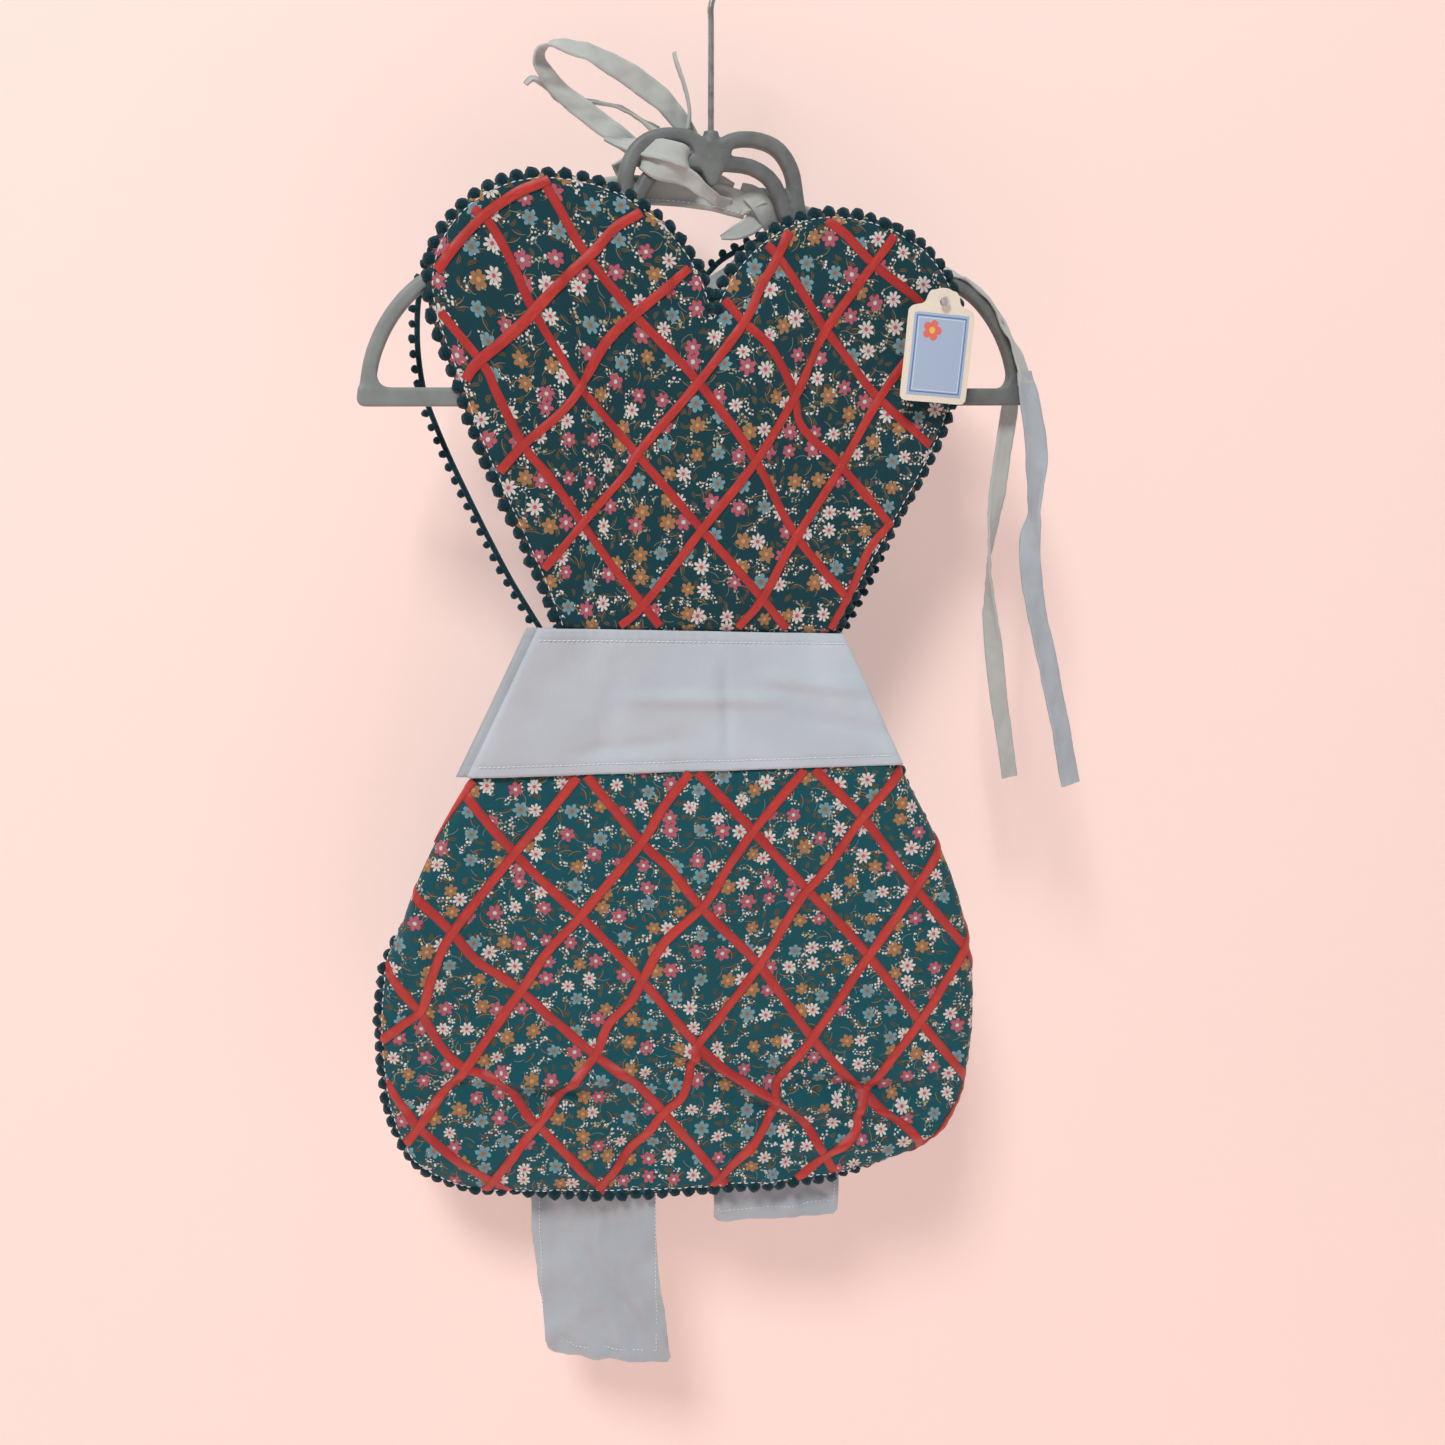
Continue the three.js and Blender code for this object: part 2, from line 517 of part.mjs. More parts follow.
// ---------- price tag ----------
function buildTag(parent) {
  const face = PANEL_BACK - SHEET_T;
  const group = new THREE.Group();
  group.position.set(TAG_X, 0, TAG_Z);
  const head = 3.2;
  const pin = new THREE.LatheGeometry([
    v2(0, 0), v2(2.4, 0), v2(2.4, 0.6), v2(PIN_R, 0.6), v2(PIN_R, TAG_PIN_LENGTH), v2(head, TAG_PIN_LENGTH),
    v2(head, TAG_PIN_LENGTH + 0.8), v2(0, TAG_PIN_LENGTH + 0.8),
  ], 16);
  pin.rotateX(Math.PI);
  pin.translate(0, face - GAP - RIBBON_T - GAP, 0);
  addMesh(group, 'tag_pin', pin, clear);

  const swing = new THREE.Group();
  swing.rotation.y = THREE.MathUtils.degToRad(4.5);
  const top = 9;
  const half = TAG_W / 2;
  const shape = new THREE.Shape();
  shape.moveTo(-half + 4, top - TAG_H);
  shape.lineTo(half - 4, top - TAG_H);
  shape.quadraticCurveTo(half, top - TAG_H, half, top - TAG_H + 4);
  shape.lineTo(half, -9);
  shape.quadraticCurveTo(half, -4, half - 6, -4);
  shape.quadraticCurveTo(13, -2, 11, 3);
  shape.quadraticCurveTo(8, 8, 3, 7.5);
  shape.quadraticCurveTo(0, top + 2, -3, 7.5);
  shape.quadraticCurveTo(-8, 8, -11, 3);
  shape.quadraticCurveTo(-13, -2, -half + 6, -4);
  shape.quadraticCurveTo(-half, -4, -half, -9);
  shape.lineTo(-half, top - TAG_H + 4);
  shape.quadraticCurveTo(-half, top - TAG_H, -half + 4, top - TAG_H);
  const hole = new THREE.Path();
  hole.absarc(0, 0, TAG_HOLE_R, 0, 2 * Math.PI, true);
  shape.holes.push(hole);
  const plane = face - TAG_PIN_LENGTH + 2;
  addMesh(swing, 'tag_card', slab(shape, plane, TAG_T, 8), card);
  const field = new THREE.Shape([
    v2(-half + 4, top - TAG_H + 4), v2(half - 4, top - TAG_H + 4), v2(half - 4, -8), v2(-half + 4, -8),
  ]);
  addMesh(swing, 'tag_label', slab(field, plane - GAP - 0.3, 0.3), label);
  group.add(swing);
  parent.add(group);
}

// ---------- assembly ----------
root.add(buildHook());

const hanger = buildHanger();
hanger.position.z = -BAR_DROP;
root.add(hanger);

const bib = new THREE.Group();
bib.position.z = HANG_Z - BAR_DROP;
bib.rotation.y = ROLL;
root.add(bib);
buildBib(bib);
buildYoke(bib);

const skirt = new THREE.Group();
skirt.position.set(SKIRT_X, 0, SKIRT_TOP - BAR_DROP);
skirt.rotation.z = SKIRT_YAW;
root.add(skirt);
buildSkirt(skirt);

root.updateMatrixWorld(true);
buildWaistband(root, bib, skirt);

// everything else is placed from the middle of the bar
const onBar = new THREE.Group();
onBar.position.z = -BAR_DROP;
root.add(onBar);
buildNeckStrap(onBar);
buildShoulderStrap(onBar);
buildTails(onBar);
buildTie(onBar, 'left', TIE_LEFT);
buildTie(onBar, 'right', TIE_RIGHT);
buildTag(onBar);

export default root;
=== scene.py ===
"""Heart-bib halter apron on a plastic hanger, built round its CAD frame in metres.

Shapes are drawn in millimetres, measured from the middle of the hanger's bar, +Z up and -Y
to the front, as in the CAD source, and turned into the frame's metres at the end.
"""
import math

import bmesh
import bpy
import numpy as np
from bpy.props import FloatProperty, FloatVectorProperty, PointerProperty
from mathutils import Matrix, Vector
from mathutils.geometry import delaunay_2d_cdt


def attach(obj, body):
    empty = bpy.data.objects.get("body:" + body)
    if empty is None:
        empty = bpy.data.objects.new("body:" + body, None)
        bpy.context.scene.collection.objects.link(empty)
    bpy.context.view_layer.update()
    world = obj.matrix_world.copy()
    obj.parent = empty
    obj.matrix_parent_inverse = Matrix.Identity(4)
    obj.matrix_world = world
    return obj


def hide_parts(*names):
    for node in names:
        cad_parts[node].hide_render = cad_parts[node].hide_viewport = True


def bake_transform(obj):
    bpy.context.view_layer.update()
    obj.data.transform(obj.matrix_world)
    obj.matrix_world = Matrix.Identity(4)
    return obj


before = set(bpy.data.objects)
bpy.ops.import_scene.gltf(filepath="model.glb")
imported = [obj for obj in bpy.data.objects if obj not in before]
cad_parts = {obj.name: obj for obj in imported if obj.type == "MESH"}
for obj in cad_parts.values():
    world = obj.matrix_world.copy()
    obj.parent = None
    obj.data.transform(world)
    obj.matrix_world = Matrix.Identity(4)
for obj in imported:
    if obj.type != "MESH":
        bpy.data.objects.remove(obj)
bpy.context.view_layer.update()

bl_info = {
    "name": "Halter Apron on a Hanger",
    "version": (1, 0, 0),
    "blender": (4, 5, 0),
    "location": "3D View > Sidebar > Apron",
    "description": "Builds a heart-bib apron with pompoms and a ribbon lattice on its hanger",
    "category": "Add Mesh",
}

MM = 0.001
BAR_DROP = 285.0  # rail seat to the middle of the hanger's bar
TAU = 2 * math.pi
FRONT, BACK, UP = (0, -1, 0), (0, 1, 0), (0, 0, 1)


def paint(red, green, blue):
    """A swatch of 0 to 255 numbers as the linear colour that a socket takes."""
    def linear(value):
        share = value / 255
        return share / 12.92 if share <= 0.04045 else ((share + 0.055) / 1.055) ** 2.4
    return linear(red), linear(green), linear(blue)


# ---------- sizes and colours that a user would change ----------
def length_prop(name, text, millimetres):
    return FloatProperty(
        name=name, description=text, default=millimetres * MM, min=0, unit="LENGTH",
        precision=4)


def colour_prop(name, text, red, green, blue):
    return FloatVectorProperty(
        name=name, description=text, default=paint(red, green, blue), size=3,
        subtype="COLOR", min=0, max=1)


class ApronSizes(bpy.types.PropertyGroup):
    ribbon_width: length_prop("Ribbon width", "Width of the lattice's satin ribbon", 6.2)
    pompom: length_prop("Pompom", "Diameter of a pompom on the edge", 9.0)
    pompom_pitch: length_prop("Pompom pitch", "From one pompom to the next", 9.2)
    small_pompom: length_prop("Small pompom", "Diameter of a pompom on the back yoke", 5.2)
    strap_width: length_prop("Strap width", "Width of the neck strap", 16)
    tie_width: length_prop("Tie width", "Width of a waist tie", 90)
    stitch: length_prop("Stitch", "Length of one stitch", 2.1)
    flower_pitch: length_prop("Flower pitch", "From one printed flower to the next", 16.5)
    flower_radius: length_prop("Flower radius", "Reach of a printed petal", 5.5)
    weave: length_prop("Weave", "From one cotton thread to the next", 0.7)


class ApronColours(bpy.types.PropertyGroup):
    bib_ground: colour_prop("Bib ground", "Ground of the bib's print", 16, 66, 76)
    skirt_ground: colour_prop("Skirt ground", "Ground of the skirt's print", 16, 86, 98)
    petal_white: colour_prop("White petals", "White daisies and dots", 226, 222, 216)
    petal_pink: colour_prop("Pink petals", "Pink flowers", 200, 86, 106)
    petal_blue: colour_prop("Blue petals", "Pale blue flowers", 116, 166, 178)
    petal_ochre: colour_prop("Ochre petals", "Ochre flowers", 178, 126, 66)
    leaf: colour_prop("Leaves", "Brown leaves between the flowers", 100, 92, 72)
    stem: colour_prop("Stems", "Cream stems", 176, 172, 144)
    ribbon: colour_prop("Ribbon", "Satin ribbon", 202, 58, 50)
    pompom: colour_prop("Pompoms", "Pompom yarn and its tape", 14, 60, 72)
    cotton: colour_prop("Grey cotton", "Waistband, straps and ties", 192, 206, 216)
    strap: colour_prop("Strap cotton", "Warmer grey of the neck strap", 184, 192, 190)
    thread: colour_prop("Thread", "Topstitching thread", 238, 240, 246)
    hanger: colour_prop("Hanger", "Moulded plastic", 104, 112, 112)
    wire: colour_prop("Wire", "Plated hook wire", 205, 206, 203)
    card: colour_prop("Card", "Tag's card", 238, 232, 216)
    label: colour_prop("Label", "Tag's printed field", 170, 194, 222)
    wall: colour_prop("Backdrop", "Floor and backdrop", 250, 227, 220)


# ---------- shader nodes ----------
class Term:
    """A value socket that Python's operators work on. Each one adds a Math node."""

    def __init__(self, finish, socket):
        self.finish = finish
        self.socket = socket

    def _maths(self, operation, *values):
        node = self.finish.node(
            "ShaderNodeMath", {"operation": operation}, dict(enumerate(values)))
        return Term(self.finish, node.outputs[0])

    def __add__(self, other):
        return self._maths("ADD", self, other)

    def __radd__(self, other):
        return self._maths("ADD", other, self)

    def __sub__(self, other):
        return self._maths("SUBTRACT", self, other)

    def __rsub__(self, other):
        return self._maths("SUBTRACT", other, self)

    def __mul__(self, other):
        return self._maths("MULTIPLY", self, other)

    def __rmul__(self, other):
        return self._maths("MULTIPLY", other, self)

    def __truediv__(self, other):
        return self._maths("DIVIDE", self, other)

    def __pow__(self, other):
        return self._maths("POWER", self, other)

    def __abs__(self):
        return self._maths("ABSOLUTE", self)

    def __gt__(self, other):
        return self._maths("GREATER_THAN", self, other)

    def __lt__(self, other):
        return self._maths("LESS_THAN", self, other)

    def at_least(self, other):
        return self._maths("MAXIMUM", self, other)

    def at_most(self, other):
        return self._maths("MINIMUM", self, other)

    def sin(self):
        return self._maths("SINE", self)

    def cos(self):
        return self._maths("COSINE", self)

    def root(self):
        return self._maths("SQRT", self)

    def angle_from(self, across):
        return self._maths("ARCTAN2", self, across)

    def rise(self, low, high):
        """0 below low, 1 above high, and smooth between."""
        node = self.finish.node(
            "ShaderNodeMapRange", {"interpolation_type": "SMOOTHSTEP"},
            {"Value": self, "From Min": low, "From Max": high})
        return Term(self.finish, node.outputs[0])


class Finish:
    """One material's nodes."""

    def __init__(self, name):
        self.material = bpy.data.materials.new(name)
        self.material.use_nodes = True
        self.tree = self.material.node_tree
        self.tree.nodes.clear()

    def node(self, kind, settings=None, sockets=None):
        made = self.tree.nodes.new(kind)
        for key, value in (settings or {}).items():
            setattr(made, key, value)
        for key, value in (sockets or {}).items():
            if isinstance(value, Term):
                value = value.socket
            if isinstance(value, bpy.types.NodeSocket):
                self.tree.links.new(value, made.inputs[key])
            else:
                made.inputs[key].default_value = value
        return made

    def place(self):
        """The piece's own cloth coordinates, in metres along its threads."""
        made = self.node("ShaderNodeAttribute", {"attribute_name": "cloth"})
        return made.outputs["Vector"]

    def solid_place(self):
        return self.node("ShaderNodeTexCoord").outputs["Object"]

    def split(self, vector):
        made = self.node("ShaderNodeSeparateXYZ", None, {0: vector})
        return [Term(self, socket) for socket in made.outputs]

    def stretched(self, vector, scale):
        made = self.node("ShaderNodeVectorMath", {"operation": "MULTIPLY"}, {0: vector, 1: scale})
        return made.outputs[0]

    def noise(self, vector, scale, detail=3.0, roughness=0.55):
        made = self.node(
            "ShaderNodeTexNoise", None,
            {"Vector": vector, "Scale": scale, "Detail": detail, "Roughness": roughness})
        return Term(self, made.outputs[0])

    def mix(self, share, low, high):
        """A colour from low to high. 6, 7 and output 2 are the node's colour sockets."""
        made = self.node("ShaderNodeMix", {"data_type": "RGBA"}, {0: share, 6: low, 7: high})
        return made.outputs[2]

    def bump(self, height, strength, distance, under=None):
        sockets = {"Height": height, "Strength": strength, "Distance": distance}
        if under is not None:
            sockets["Normal"] = under
        return self.node("ShaderNodeBump", None, sockets).outputs[0]

    def surface(self, **sockets):
        named = {key.replace("_", " "): value for key, value in sockets.items()}
        shader = self.node("ShaderNodeBsdfPrincipled", None, named)
        self.node("ShaderNodeOutputMaterial", None, {"Surface": shader.outputs[0]})
        return self.material


def opaque(colour):
    return (*colour, 1.0)


def tone(colour, factor):
    return tuple(min(1.0, part * factor) for part in colour)


def weave_height(finish, place, pitch):
    """Over and under of a plain weave, in height from 0 to 1."""
    x, z, _ = finish.split(place)
    return (x * (TAU / pitch)).sin() * (z * (TAU / pitch)).sin() * 0.5 + 0.5


def motif(finish, place, pitch, shift, wobble):
    """The nearest printed motif's own x and y, and three numbers drawn for it."""
    moved = finish.node(
        "ShaderNodeVectorMath", {"operation": "ADD"}, {0: place, 1: shift}).outputs[0]
    cell = finish.node(
        "ShaderNodeTexVoronoi", {"voronoi_dimensions": "2D"},
        {"Vector": moved, "Scale": 1 / pitch, "Randomness": wobble})
    local = finish.node(
        "ShaderNodeVectorMath", {"operation": "SUBTRACT"},
        {0: moved, 1: cell.outputs["Position"]}).outputs[0]
    x, y, _ = finish.split(local)
    drawn = finish.node("ShaderNodeSeparateColor", None, {0: cell.outputs["Color"]})
    return x, y, [Term(finish, socket) for socket in drawn.outputs]


def turned(x, y, turn):
    """The same place, measured along and across a direction."""
    return x * turn.cos() + y * turn.sin(), y * turn.cos() - x * turn.sin()


def leaf_layer(finish, place, colour, colours, shift):
    """Brown leaves on cream stems, turned every way."""
    x, y, luck = motif(finish, place, 9.5 * MM, shift, 0.9)
    along, across = turned(x, y, luck[0] * TAU)
    bow = across - along * along * 110.0
    inside = (along / (2.9 * MM)) ** 2.0 + (bow / (1.15 * MM)) ** 2.0
    leaf = (1.0 - inside).rise(0.0, 0.35) * (luck[1] > 0.3)
    vein = abs(bow).rise(0.12 * MM, 0.35 * MM)
    green = finish.mix(luck[2], opaque(colours.leaf), opaque(tone(colours.leaf, 0.55)))
    green = finish.mix(vein, opaque(tone(colours.leaf, 0.4)), green)
    colour = finish.mix(leaf, colour, green)
    bent = abs(across + along * along * 70.0 - 1.1 * MM)
    reach = (4.6 * MM - abs(along)).rise(0.0, 0.6 * MM)
    stem = (0.20 * MM - bent).rise(0.0, 0.14 * MM) * reach
    return finish.mix(stem * (luck[2] > 0.62), colour, opaque(tone(colours.stem, 0.7)))


def dot_layer(finish, place, colour, colours, shift, pitch):
    """Small white dots in bent rows, as on a spray of buds."""
    x, y, luck = motif(finish, place, pitch, shift, 0.85)
    far = (x * x + y * y).root()
    along, across = turned(x, y, luck[0] * TAU)
    aside = abs(across.angle_from(along))
    ring = (1.9 * MM - abs(far - 4.6 * MM)).rise(0.0, 0.5 * MM)
    spray = ring * (1.25 - aside).rise(0.0, 0.2)
    dx, dy, dot_luck = motif(finish, place, 2.3 * MM, (0.0013, 0.0007, 0.0), 0.75)
    dot_radius = dot_luck[0] * (0.45 * MM) + 0.62 * MM
    dot = (dot_radius - (dx * dx + dy * dy).root()).rise(0.0, 0.3 * MM)
    bud = finish.mix(luck[2] > 0.72, opaque(colours.petal_white), opaque(colours.stem))
    colour = finish.mix(dot * spray * (dot_luck[1] > 0.12), colour, bud)
    stalk = (0.24 * MM - abs(far - 3.4 * MM)).rise(0.0, 0.14 * MM) * (1.0 - aside).rise(0.0, 0.2)
    return finish.mix(stalk, colour, opaque(tone(colours.stem, 0.75)))


PETAL_SHADE = (0.16, 0.17, 0.19)
WEAVE_SHADE = (0.0, 0.01, 0.015)
WHITE_UP_TO, PINK_UP_TO, BLUE_UP_TO = 0.32, 0.56, 0.78  # shares of the flowers; the rest is ochre


def flower_layer(finish, place, colour, colours, sizes):
    """Daisies and round flowers of three more colours, with round centres."""
    x, y, luck = motif(finish, place, sizes.flower_pitch, (0.0, 0.0, 0.0), 0.72)
    angle = y.angle_from(x) + luck[1] * TAU
    is_daisy = luck[0] < WHITE_UP_TO
    past_pink = luck[0] > PINK_UP_TO
    is_ochre = luck[0] > BLUE_UP_TO
    round_petal = abs((angle * 3.0).cos()) ** 0.8
    long_petal = abs((angle * 4.0).cos()) ** 0.7
    petal = round_petal + (long_petal - round_petal) * is_daisy
    reach_in = 0.52 - is_daisy * 0.22
    ragged = finish.noise(place, 430.0, 2.0) * 0.5 + 0.75
    far = (x * x + y * y).root() * ragged
    size = (luck[2] * 0.22 + 0.82) * sizes.flower_radius
    reach = size * (reach_in + (1.0 - reach_in) * petal)
    mask = (reach - far).rise(0.0, 0.38 * MM)
    tinted = finish.mix(past_pink, opaque(colours.petal_pink), opaque(colours.petal_blue))
    tinted = finish.mix(is_ochre, tinted, opaque(colours.petal_ochre))
    petals = finish.mix(is_daisy, tinted, opaque(colours.petal_white))
    streak = finish.noise(place, 1400.0, 2.0)
    shade = (far / size).rise(0.95, 0.2) * 0.55 + (streak - 0.5) * 0.5
    petals = finish.mix(shade * (1.0 - is_daisy * 0.5), petals, opaque(PETAL_SHADE))
    colour = finish.mix(mask, colour, petals)
    centre = finish.mix(past_pink, opaque(tone(colours.petal_white, 0.85)),
                        opaque(tone(colours.petal_ochre, 0.75)))
    centre = finish.mix(is_ochre, centre, opaque(tone(colours.petal_ochre, 1.5)))
    centre = finish.mix(is_daisy, centre, opaque(colours.petal_pink))
    return finish.mix((size * 0.27 - far).rise(0.0, 0.4 * MM), colour, centre)


def printed_cotton(name, ground, colours, sizes):
    """Flowered cotton: leaves, buds and daisies on a dark ground, over a fine weave."""
    finish = Finish(name)
    place = finish.place()
    mottle = finish.noise(place, 60.0, 4.0)
    colour = finish.mix(mottle * 0.5, opaque(tone(ground, 0.82)), opaque(tone(ground, 1.25)))
    colour = leaf_layer(finish, place, colour, colours, (0.004, 0.009, 0.0))
    colour = leaf_layer(finish, place, colour, colours, (0.131, 0.047, 0.0))
    colour = dot_layer(finish, place, colour, colours, (0.071, 0.013, 0.0), 15.0 * MM)
    colour = dot_layer(finish, place, colour, colours, (0.017, 0.083, 0.0), 18.0 * MM)
    colour = flower_layer(finish, place, colour, colours, sizes)
    thread = weave_height(finish, place, sizes.weave)
    slub = finish.noise(finish.stretched(place, (1.0, 9.0, 1.0)), 420.0, 2.0)
    colour = finish.mix(thread * 0.16, colour, opaque(WEAVE_SHADE))
    height = thread * 0.6 + slub * 0.8
    return finish.surface(
        Base_Color=colour, Roughness=0.86 + slub * 0.1, Sheen_Weight=0.12,
        Sheen_Roughness=0.5, Specular_IOR_Level=0.25,
        Normal=finish.bump(height, 0.35, 0.0002))


def plain_cotton(name, colour, sizes, creases):
    """Pale woven cotton with slubs, soft creases and faint blotches."""
    finish = Finish(name)
    place = finish.place()
    thread = weave_height(finish, place, sizes.weave)
    slub = finish.noise(finish.stretched(place, (9.0, 1.0, 1.0)), 330.0, 3.0)
    blotch = finish.noise(place, 16.0, 4.0)
    crumple = finish.noise(place, 55.0, 5.0, 0.6)
    base = finish.mix(
        blotch.rise(0.35, 0.75), opaque(tone(colour, 0.93)), opaque(tone(colour, 1.03)))
    base = finish.mix((slub * thread).rise(0.3, 0.8) * 0.22, base, opaque(tone(colour, 0.6)))
    stain = finish.noise(place, 9.0, 2.0).rise(0.66, 0.78) * 0.25
    base = finish.mix(stain, base, opaque((colour[0], colour[1] * 0.82, colour[2] * 0.82)))
    normal = finish.bump(crumple, creases, 0.0012)
    normal = finish.bump(thread * 0.5 + slub, 0.3, 0.0002, normal)
    return finish.surface(
        Base_Color=base, Roughness=0.84 + slub * 0.12, Sheen_Weight=0.15,
        Sheen_Roughness=0.5, Specular_IOR_Level=0.25, Normal=normal)


# The lower layer's ribbons keep lengthwise coordinates below this, and satin paints them darker:
# painted shade.
SECOND_LAYER = 5.0  # a ribbon of the upper layer has lengthwise coordinates past this, in metres


def satin(name, colour):
    """Ribbon with a lengthwise grain; painted shade on the lower layer and along both edges, and
    darker patches of painted sheen.
    """
    finish = Finish(name)
    place = finish.place()
    along, across, _ = finish.split(place)
    grain = finish.noise(finish.stretched(place, (0.05, 1.0, 1.0)), 3200.0, 3.0)
    worn = finish.noise(place, 90.0, 3.0)
    upper = along > SECOND_LAYER
    # Painted sheen: soft darker patches along the ribbon.
    sheen_patch = finish.noise(finish.stretched(place, (1.0, 0.2, 1.0)), 26.0, 2.0)
    # Painted shade along both edges of the ribbon.
    edge_shade = abs(across).rise(1.7 * MM, 2.9 * MM)
    base = finish.mix(
        grain.rise(0.25, 0.8), opaque(tone(colour, 0.62)), opaque(tone(colour, 1.15)))
    # The shaded red of the painted shade, for the lower layer and the sheen patches.
    shaded_red = (0.62 * colour[0], 0.35 * colour[1], 0.55 * colour[2], 1.0)
    base = finish.mix(worn.rise(0.45, 0.8) * 0.3, base, opaque(tone(colour, 0.5)))
    # Painted shade: the lower layer's ribbons, and soft patches of painted sheen on every ribbon,
    # go towards the shaded red.
    base = finish.mix((1.0 - upper) * 0.45 + sheen_patch.rise(0.42, 0.62) * 0.4, base, shaded_red)
    # Painted shade darkens both edges.
    base = finish.mix(edge_shade * 0.6, base, opaque(tone(colour, 0.42)))
    ribs = (along * (TAU / (0.9 * MM))).sin() * 0.25 + grain
    return finish.surface(
        Base_Color=base, Roughness=0.36 + grain * 0.22, Anisotropic=0.5,
        Sheen_Weight=0.1, Normal=finish.bump(ribs, 0.35, 0.0003))


def yarn(name, colour):
    """Fuzzy cut yarn."""
    finish = Finish(name)
    place = finish.solid_place()
    tuft = finish.noise(place, 900.0, 3.0, 0.7)
    broad = finish.noise(place, 120.0, 2.0)
    base = finish.mix(
        tuft.rise(0.3, 0.75), opaque(tone(colour, 0.35)), opaque(tone(colour, 1.45)))
    base = finish.mix(broad * 0.4, base, opaque(tone(colour, 0.55)))
    return finish.surface(
        Base_Color=base, Roughness=0.96, Sheen_Weight=0.25, Sheen_Roughness=0.4,
        Specular_IOR_Level=0.15, Normal=finish.bump(tuft, 0.9, 0.0012))


def moulded(name, colour):
    """Satin moulded plastic with scuffs, lighter towards its left end."""
    finish = Finish(name)
    place = finish.solid_place()
    mottle = finish.noise(place, 55.0, 5.0, 0.65)
    grain = finish.noise(place, 900.0, 2.0)
    scuff = finish.noise(finish.stretched(place, (1.0, 1.0, 5.0)), 240.0, 4.0)
    base = finish.mix(
        mottle.rise(0.3, 0.72), opaque(tone(colour, 0.80)), opaque(tone(colour, 1.22)))
    base = finish.mix(scuff.rise(0.6, 0.72) * 0.35, base, opaque(tone(colour, 1.7)))
    across, _, _ = finish.split(place)
    # Lighter towards the left end of the bar, varied by the mottle.
    lighter_left_end = (0.0 - across).rise(0.12, 0.17) * (0.35 + mottle * 0.6)
    base = finish.mix(lighter_left_end, base, opaque(tone(colour, 1.9)))
    return finish.surface(
        Base_Color=base, Roughness=0.40 + mottle * 0.25,
        Normal=finish.bump(grain * 0.4 + mottle, 0.25, 0.0004))


def plated(name, colour):
    """Drawn and plated wire with fine length-wise marks."""
    finish = Finish(name)
    place = finish.solid_place()
    drawn = finish.noise(finish.stretched(place, (1.0, 1.0, 0.06)), 2600.0, 2.0)
    dull = finish.noise(place, 130.0, 3.0)
    base = finish.mix(dull.rise(0.4, 0.75) * 0.6, opaque(colour), opaque(tone(colour, 0.5)))
    return finish.surface(
        Base_Color=base, Metallic=1.0, Roughness=0.20 + drawn * 0.22,
        Normal=finish.bump(drawn, 0.2, 0.0002))


def card_board(name, colour):
    """Plain uncoated card with worn patches."""
    finish = Finish(name)
    place = finish.solid_place()
    fibre = finish.noise(place, 700.0, 4.0)
    wear = finish.noise(place, 60.0, 3.0)
    base = finish.mix(fibre.rise(0.3, 0.7) * 0.3, opaque(colour), opaque(tone(colour, 0.82)))
    base = finish.mix(wear.rise(0.5, 0.8) * 0.25, base, opaque(tone(colour, 0.75)))
    return finish.surface(
        Base_Color=base, Roughness=0.7 + fibre * 0.15, Normal=finish.bump(fibre, 0.2, 0.0002))


def clear_plastic(name):
    """Clear moulded plastic, a little cloudy."""
    finish = Finish(name)
    cloud = finish.noise(finish.solid_place(), 500.0, 3.0)
    base = finish.mix(cloud, opaque((0.82, 0.84, 0.84)), opaque((0.95, 0.96, 0.96)))
    return finish.surface(
        Base_Color=base, Roughness=0.12 + cloud * 0.12, Transmission_Weight=0.7, IOR=1.49,
        Normal=finish.bump(cloud, 0.1, 0.0002))


def label_print(name, colours, middle, half_width, half_height):
    """A pale field with a ruled border and one plain flower, and no lettering."""
    finish = Finish(name)
    place = finish.place()
    x, z, _ = finish.split(place)
    fibre = finish.noise(place, 900.0, 3.0)
    base = finish.mix(fibre * 0.35, opaque(colours.label), opaque(tone(colours.label, 0.86)))
    edge_x = half_width - abs(x)
    edge_z = half_height - abs(z)
    near = edge_x.at_most(edge_z)
    rule = (0.55 * MM - abs(near - 1.9 * MM)).rise(0.0, 0.2 * MM)
    base = finish.mix(rule, base, opaque(paint(92, 132, 190)))
    thin = (0.2 * MM - abs(near - 3.1 * MM)).rise(0.0, 0.12 * MM)
    base = finish.mix(thin, base, opaque(paint(236, 240, 246)))
    flower_x, flower_z = x - middle[0], z - middle[1]
    far = (flower_x * flower_x + flower_z * flower_z).root()
    petal = abs((flower_z.angle_from(flower_x) * 2.5).cos()) ** 0.6
    bloom = (6.6 * MM * (0.6 + 0.4 * petal) - far).rise(0.0, 0.3 * MM)
    base = finish.mix(bloom, base, opaque(paint(226, 116, 104)))
    centre = (2.1 * MM - far).rise(0.0, 0.3 * MM)
    base = finish.mix(centre, base, opaque(paint(238, 196, 84)))
    return finish.surface(
        Base_Color=base, Roughness=0.5 + fibre * 0.2, Normal=finish.bump(fibre, 0.1, 0.0001))


# ---------- mesh making ----------
def to_frame(points):
    """Millimetres from the bar's middle as metres in the frame."""
    placed = np.array(points, float)
    placed[:, 2] -= BAR_DROP
    return placed * MM


def mesh_piece(name, verts, faces, material, cloth, sharp=None):
    """A mesh object from points in the frame's metres, with its cloth coordinates."""
    mesh = bpy.data.meshes.new(name)
    mesh.from_pydata(np.asarray(verts).tolist(), [], [tuple(int(i) for i in f) for f in faces])
    mesh.polygons.foreach_set("use_smooth", [True] * len(mesh.polygons))
    if sharp is not None:
        mesh.set_sharp_from_angle(angle=math.radians(sharp))
    spots = np.zeros((len(mesh.vertices), 3), np.float32)
    spots[:, :2] = cloth
    layer = mesh.attributes.new("cloth", "FLOAT_VECTOR", "POINT")
    layer.data.foreach_set("vector", spots.ravel())
    mesh.materials.append(material)
    piece = bpy.data.objects.new(name, mesh)
    bpy.context.scene.collection.objects.link(piece)
    return piece


